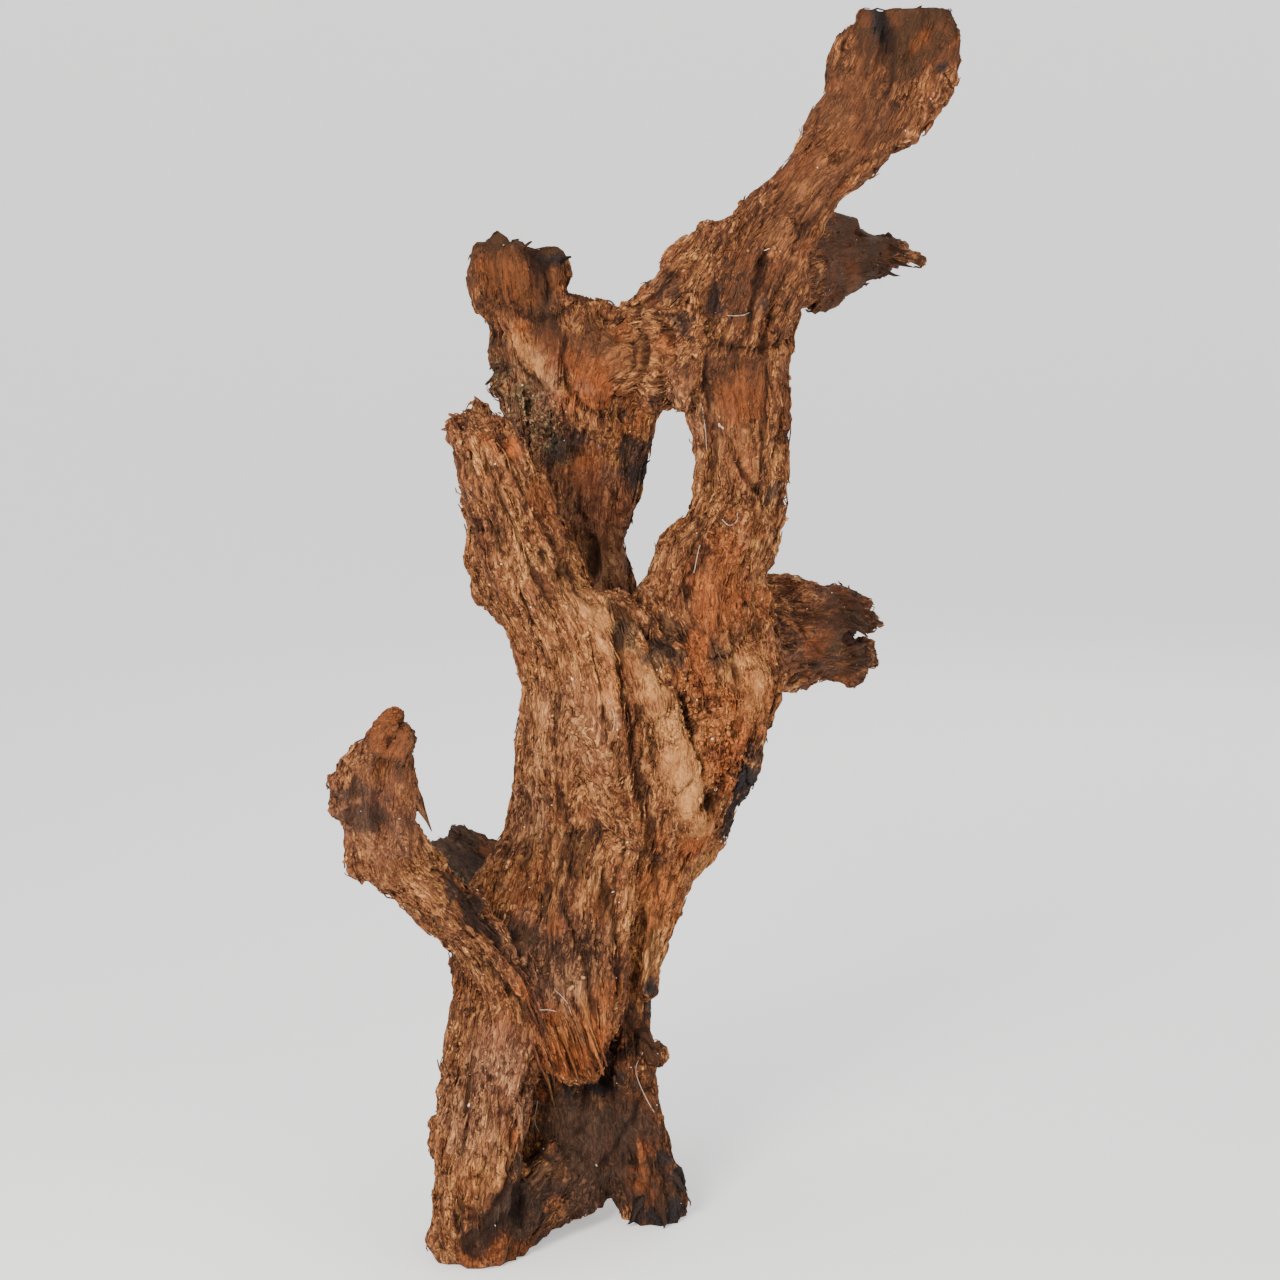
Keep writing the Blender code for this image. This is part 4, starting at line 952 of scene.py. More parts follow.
def carved_skin(sizes):
    """The skin: the solid's mesh made fine, with its grain, patches and relief."""
    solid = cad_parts["driftwood"].data
    skin = new_object("weathered_skin", joined(solid, bpy.data.meshes.new("weathered_skin")))
    coarse = mesh_points(skin.data)
    tree = BVHTree.FromObject(skin, bpy.context.evaluated_depsgraph_get())
    coarse_grain = grain_at(coarse)
    coarse_places = unrolled(
        coarse, mesh_edges(skin.data), coarse_grain, coarse * GRAIN_SHARE, COARSE_ROUNDS
    )
    wall = patch_amounts(coarse, tree)["thin"] * THIN_GAIN
    skin.data.vertices.foreach_set("co", (coarse + mesh_normals(skin.data) * wall[:, None]).ravel())
    skin.data.update()
    fine = skin.modifiers.new("fine", "REMESH")
    fine.mode = "VOXEL"
    fine.voxel_size = sizes.skin_spacing
    with_modifiers(skin)
    mesh = skin.data
    edges = mesh_edges(mesh)
    points = softened(mesh_points(mesh), edges, POINT_ROUNDS)
    grain = grain_at(points)
    near = nearest(points, coarse)
    guess = coarse_places[near] + squeezed(points - coarse[near], grain)
    places = unrolled(points, edges, grain, guess, FINE_ROUNDS)
    mesh.vertices.foreach_set("co", points.ravel())
    mesh.update()
    normals = unit(softened(mesh_normals(mesh), edges, NORMAL_ROUNDS))
    amounts = patch_amounts(points, tree)
    rise = furrow_rise(places, points, amounts)
    rise += drawn_rise(points, ripple(places, 0.006, 51), tree)
    rise += ring_rise(points, tree)
    rise = np.maximum(rise, -DEEPEST_CUT) * eased(0.0, 0.012, points[:, 2]) * sizes.relief
    rise = rise * (1.0 - 0.85 * amounts["thin"])
    points = points + normals * rise[:, None]
    points[:, 2] = np.clip(points[:, 2], 0.0, SOLID_BOX[1][2])
    mesh.vertices.foreach_set("co", points.ravel())
    # How deep each point is cut in, which the material paints as shade.
    cavity = np.clip(-rise / DARKEST_CUT, 0.0, 1.0)
    kept = {"unrolled": places, "grain": grain, "out": normals, "cavity": cavity, **amounts}
    for name, values in kept.items():
        keep_on_points(mesh, name, values)
    mesh.update()
    thin = skin.modifiers.new("thin", "DECIMATE")
    thin.ratio = min(1.0, sizes.skin_triangles / (2.0 * len(mesh.polygons)))
    with_modifiers(skin)
    skin.data.shade_smooth()
    return skin


def ring_rise(points, tree):
    """Growth rings of the burl: a wave of the distance from its centre as seen from the front."""
    away = points - on_wood([RING_CENTRE], tree)[0]
    across, up, behind = away[:, 0], away @ ABOVE, away @ AHEAD
    gap = np.hypot(across, up * 1.1) + 0.003 * ripple(points, 0.014, 61)
    inside = (1.0 - eased(RING_REACH * 0.85, RING_REACH, gap)) * (1.0 - eased(0.02, 0.04, np.abs(behind)))
    return -RING_DEPTH * cracked(np.sin(gap / RING_SPACING * math.pi), 0.45) * inside


class Ground:
    """The finished skin as arrays: its points, grain, normals, masks, neighbours and faces."""

    def __init__(self, skin):
        mesh = skin.data
        self.points = mesh_points(mesh)
        self.grain = unit(read_points(mesh, "grain"))
        self.out = unit(read_points(mesh, "out"))
        self.kept = {name: read_points(mesh, name) for name in ("unrolled", "cavity", *PATCHES)}
        self.beside = self.neighbours(mesh_edges(mesh))
        self.areas = read_rows(mesh.polygons, "area")
        corners = read_rows(mesh.polygons, "loop_start", kind=np.int64)
        self.first = read_rows(mesh.loops, "vertex_index", kind=np.int64)[corners]

    def neighbours(self, edges):
        """For each point, the numbers of its neighbours, filled up with its own."""
        both = np.vstack([edges, edges[:, ::-1]])
        both = both[np.argsort(both[:, 0], kind="stable")]
        start = np.searchsorted(both[:, 0], np.arange(len(self.points)))
        rank = np.arange(len(both)) - start[both[:, 0]]
        beside = np.repeat(np.arange(len(self.points))[:, None], MOST_NEIGHBOURS, axis=1)
        kept = rank < MOST_NEIGHBOURS
        beside[both[kept, 0], rank[kept]] = both[kept, 1]
        return beside

    def pick(self, count, weights, rng):
        """Points picked at random, more of them where the weight of the point is greater."""
        chance = self.areas * weights[self.first]
        return self.first[rng.choice(len(chance), count, p=chance / chance.sum())]

    def closest(self, places, known):
        """The nearest point to each place, found by stepping from the known one to nearer neighbours."""
        for _ in range(WALK_LOOKS):
            around = np.concatenate([self.beside[known], known[:, None]], axis=1)
            away = self.points[around] - places[:, None]
            best = np.einsum("ijk,ijk->ij", away, away).argmin(axis=1)
            known = around[np.arange(len(known)), best]
        return known

    def walk(self, starts, steps, stride, sway, rng):
        """Lines that follow the grain over the skin from the starts, and the points they pass."""
        at = starts
        place = self.points[starts]
        heading = self.grain[starts] * rng.choice((-1.0, 1.0), len(starts))[:, None]
        lines, passed = [place], [at]
        lean = rng.normal(0.0, sway, len(starts))
        for _ in range(steps - 1):
            grain = self.grain[at]
            out = self.out[at]
            grain = grain * np.sign(np.einsum("ij,ij->i", grain, heading) + 1e-9)[:, None]
            lean = 0.6 * lean + rng.normal(0.0, sway * 0.6, len(starts))
            heading = grain - np.einsum("ij,ij->i", grain, out)[:, None] * out
            heading = unit(unit(heading) + lean[:, None] * np.cross(out, heading))
            place = place + heading * stride[:, None]
            at = self.closest(place, at)
            off = np.einsum("ij,ij->i", place - self.points[at], self.out[at])
            place = place - off[:, None] * self.out[at]
            aside = place - self.points[at]
            reach = np.linalg.norm(aside, axis=1, keepdims=True)
            place = self.points[at] + aside * np.minimum(1.0, WALK_REACH / np.maximum(reach, TINY))
            lines.append(place)
            passed.append(at)
        return np.stack(lines, axis=1), np.stack(passed, axis=1)


def strand_mesh(name, lines, outs, halves, heights, sunk):
    """Closed three-sided strands along lines.

    At each of a line's places stand a left foot, a crest and a right foot: place -/+ side * half - out *
    sunk, and place + out * height. Each strand runs to a point at both ends.
    """
    count, rings = lines.shape[:2]
    along = unit(np.gradient(lines, axis=1))
    side = unit(np.cross(along, outs))
    low = lines - outs * sunk
    ring = np.stack([low - side * halves[..., None], lines + outs * heights[..., None],
                     low + side * halves[..., None]], axis=2)
    first = low[:, :1] - along[:, :1] * halves[:, :1, None] * 2.0
    last = low[:, -1:] + along[:, -1:] * halves[:, -1:, None] * 2.0
    points = np.concatenate([ring.reshape(count, rings * 3, 3), first, last], axis=1)
    here = np.arange(rings - 1)[:, None] * 3 + np.arange(3)
    there = np.arange(rings - 1)[:, None] * 3 + (np.arange(3) + 1) % 3
    quads = np.stack([here, there, there + 3, here + 3], axis=2).reshape(-1, 4)
    left, crest = np.arange(3), (np.arange(3) + 1) % 3
    caps = np.vstack([
        np.stack([np.full(3, rings * 3), crest, left], axis=1),
        np.stack([np.full(3, rings * 3 + 1), left + rings * 3 - 3, crest + rings * 3 - 3], axis=1),
    ])
    start = (np.arange(count) * (rings * 3 + 2))[:, None, None]
    return surface_mesh(name, points.reshape(-1, 3), (quads + start).reshape(-1, 4),
                        (caps + start).reshape(-1, 3))


def surface_mesh(name, points, quads, triangles):
    """A mesh from arrays of points, four-sided and three-sided faces, held above the floor."""
    points = np.column_stack([points[:, :2], np.maximum(points[:, 2], 0.0)])
    mesh = bpy.data.meshes.new(name)
    mesh.vertices.add(len(points))
    mesh.vertices.foreach_set("co", points.ravel())
    mesh.loops.add(len(quads) * 4 + len(triangles) * 3)
    mesh.loops.foreach_set("vertex_index", np.concatenate([quads.ravel(), triangles.ravel()]))
    sizes = np.concatenate([np.full(len(quads), 4), np.full(len(triangles), 3)])
    mesh.polygons.add(len(sizes))
    mesh.polygons.foreach_set("loop_start", np.concatenate([[0], np.cumsum(sizes)[:-1]]))
    mesh.update(calc_edges=True)
    return mesh


def keep_masks(mesh, ground, owners, lift, white=None):
    """Gives each point of a mesh of like bits the skin's masks at its owner point.

    Each bit has its own lightness, and its whiteness where that is given.
    """
    for kept, values in ground.kept.items():
        keep_on_points(mesh, kept, values[owners])
    each = len(owners) // len(lift)
    keep_on_points(mesh, "lift", np.repeat(lift, each))
    if white is not None:
        keep_on_points(mesh, "white", np.repeat(white, each))


def laid_strands(name, ground, seed):
    """One kind of strand laid on the skin along the grain, as a mesh that keeps the skin's masks."""
    count, lengths, halves, heights, standing, sway, tones = STRANDS[name]
    rng = np.random.default_rng(seed)
    clumps = eased(-0.45, 0.35, ripple(ground.points, 0.030, seed))
    weights = 0.15 + clumps
    for mask, share in STRANDS_AVOID.items():
        weights = weights * (1.0 - share * ground.kept[mask])
    weights = weights * eased(0.004, 0.012, ground.points[:, 2])
    starts = ground.pick(count, weights, rng)
    length_each = rng.uniform(*lengths, count)
    lines, passed = ground.walk(starts, STRAND_RINGS, length_each / (STRAND_RINGS - 1), sway, rng)
    outs = ground.out[passed]
    t = np.linspace(0.0, 1.0, STRAND_RINGS)
    taper = np.sin(np.pi * (0.12 + 0.78 * t)) ** 0.7
    half = rng.uniform(*halves, count)[:, None] * taper
    high = rng.uniform(*heights, count)[:, None] * taper
    off = rng.exponential(standing * 0.5, count)[:, None] * t**2.5
    lines = lines + outs * np.minimum(off, standing * 1.3)[..., None]
    lines[..., 2] = np.maximum(lines[..., 2], 0.002)
    mesh = strand_mesh(name, lines, outs, half, high, STRAND_SUNK)
    owners = np.concatenate([np.repeat(passed, 3, axis=1), passed[:, :1], passed[:, -1:]], axis=1)
    keep_masks(mesh, ground, owners.ravel(), rng.uniform(*tones, count))
    return mesh


def add_node(tree, kind, inputs=None, **settings):
    """A node with its settings, and its sockets linked or set."""
    made = tree.nodes.new(kind)
    for name, value in settings.items():
        setattr(made, name, value)
    for key, value in (inputs or {}).items():
        if isinstance(value, bpy.types.NodeSocket):
            tree.links.new(value, made.inputs[key])
        else:
            made.inputs[key].default_value = value
    return made


def sums(tree, operation, first, second=0.0, third=0.0):
    """A sum worked out on numbers."""
    return add_node(tree, "ShaderNodeMath", {0: first, 1: second, 2: third}, operation=operation).outputs[0]


def vectors(tree, operation, *values):
    """A sum worked out on whole vectors."""
    return add_node(tree, "ShaderNodeVectorMath", dict(enumerate(values)), operation=operation).outputs[0]


def times(tree, first, *others):
    """The product of two or more numbers."""
    for other in others:
        first = sums(tree, "MULTIPLY", first, other)
    return first


def most(tree, first, *others):
    """The greatest of two or more numbers."""
    for other in others:
        first = sums(tree, "MAXIMUM", first, other)
    return first


def raised(tree, base, value, share):
    """A base number with a share of a value added."""
    return sums(tree, "MULTIPLY_ADD", value, share, base)


def less(tree, value, other):
    """A number less another."""
    return sums(tree, "SUBTRACT", value, other)


def blended(tree, amount, first, second):
    """Two colours mixed by an amount. Each is a socket or three numbers."""
    first, second = (c if isinstance(c, bpy.types.NodeSocket) else (*c, 1.0) for c in (first, second))
    mix = add_node(tree, "ShaderNodeMix", {0: amount, 6: first, 7: second}, data_type="RGBA")
    return mix.outputs[2]


def between(tree, value, low, high, start=0.0, end=1.0):
    """A value mapped smoothly from (low, high) to (start, end), and held there."""
    mapped = add_node(
        tree, "ShaderNodeMapRange", {0: value, 1: low, 2: high, 3: start, 4: end},
        interpolation_type="SMOOTHSTEP",
    )
    return mapped.outputs[0]


def waves(tree, place, scale, detail=2.0, rough=0.5, seed=0.0):
    """Noise at a place, with its own seed as an offset."""
    own = vectors(tree, "ADD", place, (seed, seed * 1.7, -seed))
    noise = {"Vector": own, "Scale": scale, "Detail": detail, "Roughness": rough}
    return add_node(tree, "ShaderNodeTexNoise", noise).outputs[0]


def attribute(tree, name, output="Fac"):
    return add_node(tree, "ShaderNodeAttribute", attribute_name=name).outputs[output]


def cells(tree, place, scale, feature, output):
    """Cells at a place: a random colour for each, or the distance to the edge between them."""
    made = add_node(tree, "ShaderNodeTexVoronoi", {"Vector": place, "Scale": scale}, feature=feature)
    return made.outputs[output]


def channel(tree, colour_value, index):
    return add_node(tree, "ShaderNodeSeparateColor", {0: colour_value}).outputs[index]


def thin_lines(tree, place, scale, seed, width, where):
    """Lines of this width where a noise passes its middle value.

    They show only where a second noise is high: its scale, its seed and the range it fades in over.
    """
    second_scale, second_seed, low, high = where
    apart = sums(tree, "ABSOLUTE", less(tree, waves(tree, place, scale, detail=1.0, seed=seed), 0.5))
    there = between(tree, waves(tree, place, second_scale, detail=1.0, seed=second_seed), low, high)
    return times(tree, between(tree, apart, *width, 1.0, 0.0), there)


def grain_group():
    """Fine grain: the tone of bundles and hairs, the dark gaps between them, which are painted shade in
    their grooves, and the height of both.
    """
    group = bpy.data.node_groups.new("driftwood grain", "ShaderNodeTree")
    face = group.interface
    for name, kind in (("Place", "Vector"), ("Spot", "Vector"), ("Calm", "Float")):
        face.new_socket(name, in_out="INPUT", socket_type="NodeSocket" + kind)
    for name in ("Tone", "Gap", "Height"):
        face.new_socket(name, in_out="OUTPUT", socket_type="NodeSocketFloat")
    place, spot, calm = add_node(group, "NodeGroupInput").outputs[:3]
    rough = raised(group, 1.0, calm, -0.85)
    bend = add_node(group, "ShaderNodeTexNoise", {"Vector": spot, "Scale": 120.0, "Detail": 2.0})
    shift = vectors(group, "SUBTRACT", bend.outputs["Color"], (0.5, 0.5, 0.5))
    bent = vectors(group, "MULTIPLY_ADD", shift, GRAIN_BEND, place)
    bundle_tone = channel(group, cells(group, bent, BUNDLES_A_METRE, "F1", "Color"), 0)
    bundle_edge = cells(group, bent, BUNDLES_A_METRE, "DISTANCE_TO_EDGE", "Distance")
    hair_tone = channel(group, cells(group, bent, HAIRS_A_METRE, "F1", "Color"), 1)
    hair_edge = cells(group, bent, HAIRS_A_METRE, "DISTANCE_TO_EDGE", "Distance")
    streak = waves(group, bent, 440.0, detail=4.0, rough=0.72, seed=2.0)
    band = waves(group, bent, 90.0, seed=3.0)
    open_ground = between(group, waves(group, spot, 60.0, seed=8.0), 0.40, 0.60)
    tone = 0.055
    for value, share in ((bundle_tone, 0.11), (hair_tone, 0.27), (streak, 0.43), (band, 0.09)):
        tone = raised(group, tone, value, share)
    # The gap is painted shade along the edges of bundles and hairs and in thin cracks.
    wide_gap = times(group, between(group, bundle_edge, 0.02, 0.11, 1.0, 0.0), open_ground)
    fine_gap = times(group, between(group, hair_edge, 0.01, 0.10, 1.0, 0.0), 0.45)
    crack = thin_lines(group, bent, 190.0, 4.0, (0.004, 0.016), (70.0, 9.0, 0.48, 0.56))
    split = thin_lines(group, bent, 380.0, 12.0, (0.006, 0.024), (150.0, 13.0, 0.48, 0.58))
    crack = times(group, most(group, crack, split), rough)
    gap = most(group, wide_gap, fine_gap, crack)
    height = times(group, between(group, bundle_edge, 0.0, 0.35), 0.55)
    ridges = between(group, hair_edge, 0.0, 0.4)
    for value, share in ((bundle_tone, 0.55), (ridges, 0.28), (streak, 0.9), (crack, -0.8)):
        height = raised(group, height, value, share)
    out = add_node(group, "NodeGroupOutput")
    for socket, value in zip(out.inputs, (tone, gap, height)):
        group.links.new(value, socket)
    return group


def ramp(tree, value, stops):
    """A colour read from stops (position, colour) along a value."""
    made = add_node(tree, "ShaderNodeValToRGB", {0: value})
    line = made.color_ramp.elements
    while len(line) < len(stops):
        line.new(0.5)
    for stop, (position, colour) in zip(line, stops):
        stop.position = position
        stop.color = (*colour, 1.0)
    return made.outputs[0]


def torn(tree, name, streak):
    """A patch's amount with its soft edge torn along the streaks."""
    amount = attribute(tree, name)
    uneven = raised(tree, amount, less(tree, 0.47, streak), 1.1)
    return times(tree, between(tree, uneven, 0.20, 0.48), amount)


def wood_material(colours, grain):
    """Weathered wood: streaks of brown with charred patches, painted shade in its cavities, cracks, hollows
    and far and turned-away parts, and painted light on a few shaded places.

    Strands lying on the skin carry the attribute lift, which makes each lighter or darker.
    """
    made = bpy.data.materials.new("weathered_wood")
    made.use_nodes = True
    tree = made.node_tree
    shader = tree.nodes["Principled BSDF"]
    spot = add_node(tree, "ShaderNodeTexCoord").outputs["Object"]
    calm = attribute(tree, "smooth")
    place = attribute(tree, "unrolled", "Vector")
    fine = add_node(tree, "ShaderNodeGroup", node_tree=grain)
    for socket, value in zip(fine.inputs, (place, spot, calm)):
        tree.links.new(value, socket)
    streak, gap, height = fine.outputs
    streak = raised(tree, streak, times(tree, less(tree, 0.47, streak), 0.5), calm)
    gap = times(tree, gap, raised(tree, 1.0, calm, -0.55))
    sway = between(tree, streak, 0.36, 0.56, 0.35, 1.0)
    broad = waves(tree, spot, 26.0, detail=3.0, rough=0.6, seed=5.0)
    tone = raised(tree, streak, less(tree, broad, 0.5), 0.20)
    tone = sums(tree, "ADD", tone, attribute(tree, "lift"))
    # pale lifts the tone, in a few places as painted light, and dim lowers it as painted shade.
    for name, share in (("pale", 0.19), ("painted_soft_shade", -0.26)):
        tone = raised(tree, tone, attribute(tree, name), share)
    wood = ramp(tree, tone, [
        (0.30, colours.shade_brown), (0.42, colours.red_brown), (0.50, colours.wood_brown),
        (0.60, colours.tan_brown), (0.76, colours.straw),
    ])
    reddish = waves(tree, spot, 38.0, detail=3.0, rough=0.6, seed=6.0)
    rust = between(tree, reddish, 0.48, 0.66, 0.0, 0.58)
    wood = blended(tree, rust, wood, blended(tree, 0.6, wood, colours.rust))
    # orange is fresh broken wood; pale ground is tinted tan, partly as painted light.
    for name, share, tint in (("orange", 0.8, colours.orange), ("pale", 0.55, colours.tan_brown)):
        wood = blended(tree, times(tree, attribute(tree, name), share, sway), wood, tint)
    kept = raised(tree, 0.985, attribute(tree, "grey"), -0.10)
    wood = add_node(tree, "ShaderNodeHueSaturation", {"Color": wood, "Saturation": kept}).outputs[0]
    # Painted shade: the dim parts are also tinted olive.
    wood = blended(tree, times(tree, attribute(tree, "painted_soft_shade"), 0.35), wood, colours.olive)
    # Painted shade with dirt in the hollows: the dark hollow colour, with dust on the lighter streaks.
    hollow_shade_colour = blended(tree, between(tree, streak, 0.42, 0.62), colours.hollow_shade_and_dirt, colours.shaded_dust)
    wood = blended(tree, times(tree, torn(tree, "hollow_shade_and_dirt", streak), 0.90), wood, hollow_shade_colour)
    fleck = between(tree, waves(tree, spot, 380.0, detail=3.0, rough=0.6, seed=7.0), 0.46, 0.62)
    crust = blended(tree, fleck, colours.olive, colours.lichen)
    patchy = between(tree, waves(tree, spot, 90.0, rough=0.6, seed=11.0), 0.36, 0.52)
    wood = blended(tree, times(tree, attribute(tree, "lichen"), patchy, 0.80), wood, crust)
    wood = blended(tree, times(tree, torn(tree, "charred", streak), 0.94), wood, colours.charred)
    # Painted shade: stain patches, the cut-in relief (cavity) and the gaps of the grain are darkened towards
    # the crevice colour.
    deep_shade_amount = times(tree, torn(tree, "painted_deep_shade", streak), between(tree, streak, 0.40, 0.62, 0.92, 0.55))
    shaded = between(tree, attribute(tree, "cavity"), 0.2, 0.95, 0.0, 0.80)
    deep = most(tree, deep_shade_amount, shaded, times(tree, gap, 0.62))
    wood = blended(tree, deep, wood, blended(tree, 0.9, wood, colours.crevice))
    wood = blended(tree, attribute(tree, "white"), wood, colours.chip)
    tree.links.new(wood, shader.inputs["Base Color"])
    shader.inputs["Roughness"].default_value = 0.86
    shader.inputs["Specular IOR Level"].default_value = 0.20
    bump = add_node(tree, "ShaderNodeBump", {"Strength": 1.0, "Distance": BUMP_HEIGHT, "Height": height})
    tree.links.new(bump.outputs[0], shader.inputs["Normal"])
    return made


def length(name, description, default):
    return bpy.props.FloatProperty(
        name=name, description=description, default=default, min=0.0, subtype="DISTANCE", unit="LENGTH",
        precision=5,
    )


def colour(name, description, default):
    return bpy.props.FloatVectorProperty(
        name=name, description=description, default=default, size=3, min=0.0, max=1.0, subtype="COLOR"
    )


class DriftwoodSizes(bpy.types.PropertyGroup):
    """Sizes and counts of the skin and what lies on it."""

    skin_spacing: length("Skin spacing", "Spacing of the skin's points before it is thinned", 0.0017)
    skin_triangles: bpy.props.IntProperty(
        name="Skin triangles", description="Most triangles of the finished skin", default=194000, min=1000
    )
    relief: bpy.props.FloatProperty(
        name="Relief", description="Depth of the furrows and cracks, as a share of the real one", default=1.0
    )


class DriftwoodColours(bpy.types.PropertyGroup):
    """Colours of the wood, its stains and crusts, and its painted shade."""

    shade_brown: colour("Shade brown", "Darkest streaks", (0.042, 0.0146, 0.0064))
    red_brown: colour("Red brown", "Dark streaks", (0.113, 0.0362, 0.0128))
    wood_brown: colour("Wood brown", "Middle streaks", (0.207, 0.0722, 0.0245))
    tan_brown: colour("Tan", "Light streaks", (0.356, 0.138, 0.0430))
    straw: colour("Straw", "Palest fibres", (0.69, 0.335, 0.108))
    rust: colour("Rust", "Reddish ground", (0.205, 0.050, 0.015))
    orange: colour("Orange", "Fresh broken wood", (0.40, 0.092, 0.014))
    # The olive tint of the painted shade on dim parts, and of lichen crust.
    olive: colour("Olive brown", "Wood kept from the light", (0.088, 0.044, 0.0165))
    # hollow is painted shade with dirt in the hollows, and dust its lighter streaks.
    hollow_shade_and_dirt: colour("Hollow", "Sheltered hollows", (0.036, 0.0190, 0.0125))
    shaded_dust: colour("Dust", "Light streaks in the hollows", (0.066, 0.037, 0.023))
    # crevice is the painted shade at the bottoms of cracks, grain gaps and stain patches.
    crevice: colour("Crevice", "Bottoms of cracks", (0.010, 0.0038, 0.0022))
    chip: colour("Chip", "Pale chips and rootlets", (0.72, 0.64, 0.54))
    charred: colour("Charred", "Blackened edges", (0.012, 0.014, 0.016))
    lichen: colour("Lichen", "Pale grey-green crust", (0.30, 0.235, 0.12))


class StagedOperator:
    """Shared registration of the operators that dress the wood."""

    bl_options = {"REGISTER", "UNDO"}


class DRIFTWOOD_OT_stage(StagedOperator, bpy.types.Operator):
    """Set the pale floor, the soft lights and the camera of the front view"""

    bl_idname = "driftwood.stage"
    bl_label = "Set the stage"

    def execute(self, context):
        add_floor()
        add_lights()
        add_camera(context.scene)
        return {"FINISHED"}


def shard_lines(tree, rng):
    """The middle lines of the shards, from under the skin at their base to their tip."""
    rows = np.asarray(SHARDS, float)
    base = on_front(rows[:, :2], tree)
    way = (rows[:, 2:3] - rows[:, :1]) * ACROSS + (rows[:, 3:4] - rows[:, 1:2]) * ABOVE
    way = way * PICTURE_MM
    lift = rows[:, 5:6] / MM_PER_M * -AHEAD
    t = np.linspace(-0.25, 1.0, STRAND_RINGS)[None, :, None]
    bend = rng.normal(0.0, 0.0006, (len(rows), STRAND_RINGS, 3)) * t
    return base[:, None] + way[:, None] * t + lift[:, None] * np.maximum(t, 0.0) ** 1.5 + bend, rows


def broken_shards(ground, tree):
    """Flat tapering shards at the broken ends and edges, as a mesh that keeps the skin's masks."""
    rng = np.random.default_rng(SHARD_SEED)
    lines, rows = shard_lines(tree, rng)
    outs = unit(np.broadcast_to(-AHEAD, lines.shape) + rng.normal(0.0, 0.25, (len(rows), 1, 3)))
    t = np.linspace(0.0, 1.0, STRAND_RINGS)
    taper = np.clip(1.08 - t**1.2, 0.06, 1.0) * (1.0 + rng.normal(0.0, 0.12, (len(rows), STRAND_RINGS)))
    half = rows[:, 4:5] / MM_PER_M * taper
    owners = nearest(lines[:, 1], ground.points)
    held = np.linalg.norm(lines[:, 1] - ground.points[owners], axis=1) < SHARD_REACH
    lines, outs, half, rows, owners = lines[held], outs[held], half[held], rows[held], owners[held]
    mesh = strand_mesh("broken_shards", lines, outs, half, half * 0.45 + 0.0006, SHARD_SUNK)
    each = STRAND_RINGS * 3 + 2
    lift = rows[:, 6] + rng.normal(0.0, 0.03, len(rows))
    keep_masks(mesh, ground, np.repeat(owners, each), lift)
    places = mesh_points(mesh)
    home = np.repeat(lines[:, 1], each, axis=0)
    grain = np.repeat(unit(lines[:, -1] - lines[:, 0]), each, axis=0)
    shift = squeezed(places - home, grain)
    mesh.attributes.remove(mesh.attributes["unrolled"])
    keep_on_points(mesh, "unrolled", np.repeat(ground.kept["unrolled"][owners], each, axis=0) + shift)
    return mesh


def lump_shape():
    """The 12 points and 20 faces of a regular solid of radius 1."""
    golden = (1.0 + math.sqrt(5.0)) / 2.0
    pairs = [(a, b * golden) for a in (-1, 1) for b in (-1, 1)]
    points = np.array([(0.0, a, b) for a, b in pairs] + [(a, b, 0.0) for a, b in pairs]
                      + [(b, 0.0, a) for a, b in pairs])
    faces = []
    for trio in itertools.combinations(range(LUMP_POINTS), 3):
        a, b, c = points[list(trio)]
        if max(np.linalg.norm(a - b), np.linalg.norm(b - c), np.linalg.norm(c - a)) < 2.01:
            outward = np.dot(np.cross(b - a, c - a), a + b + c) > 0.0
            faces.append(trio if outward else trio[::-1])
    return unit(points), np.array(faces)


def lump_mesh(name, centres, sizes, outs, rng):
    """Uneven lumps at the centres: the regular solid, stretched, turned and with its points moved."""
    shape, faces = lump_shape()
    count = len(centres)
    uneven = shape[None] * rng.uniform(0.65, 1.25, (count, LUMP_POINTS, 1))
    uneven = uneven * rng.uniform(0.6, 1.3, (count, 1, 3)) * LUMP_STRETCH
    first = unit(np.cross(outs, rng.normal(size=(count, 3))))
    frame_of = np.stack([first, np.cross(outs, first), outs], axis=1)
    points = centres[:, None] + np.einsum("ijk,ikl->ijl", uneven, frame_of) * sizes[:, None, None]
    triangles = (faces[None] + (np.arange(count) * LUMP_POINTS)[:, None, None]).reshape(-1, 3)
    return surface_mesh(name, points.reshape(-1, 3), np.empty((0, 4), np.int64), triangles)


def strewn_lumps(name, ground, seed):
    """One kind of lump strewn over the skin."""
    count, sizes, patch, white, tones = LUMPS[name]
    rng = np.random.default_rng(seed)
    if patch:
        weights = ground.kept[patch] ** 2 + 0.004
    else:
        weights = 0.05 + eased(-0.2, 0.6, ripple(ground.points, 0.05, seed))
    owners = ground.pick(count, weights * eased(0.003, 0.01, ground.points[:, 2]), rng)
    size = rng.uniform(*sizes, count)
    outs = ground.out[owners]
    centres = ground.points[owners] + outs * size[:, None] * 0.3 + rng.normal(0.0, 0.0006, (count, 3))
    mesh = lump_mesh(name, centres, size, outs, rng)
    owners = np.repeat(owners, LUMP_POINTS)
    keep_masks(mesh, ground, owners, rng.uniform(*tones, count), np.full(count, white))
    return mesh


def placed_chips(ground, tree):
    """The pale chips that are seen one by one."""
    rng = np.random.default_rng(CHIP_SEED)
    rows = np.asarray(CHIPS, float)
    centres = on_front(rows[:, :2], tree)
    owners = nearest(centres, ground.points)
    radii = rows[:, 2] / 2.0 / MM_PER_M
    mesh = lump_mesh("pale_chips", centres, radii, ground.out[owners], rng)
    owners = np.repeat(owners, LUMP_POINTS)
    keep_masks(mesh, ground, owners, np.full(len(rows), CHIP_LIFT), rows[:, 3])
    return mesh


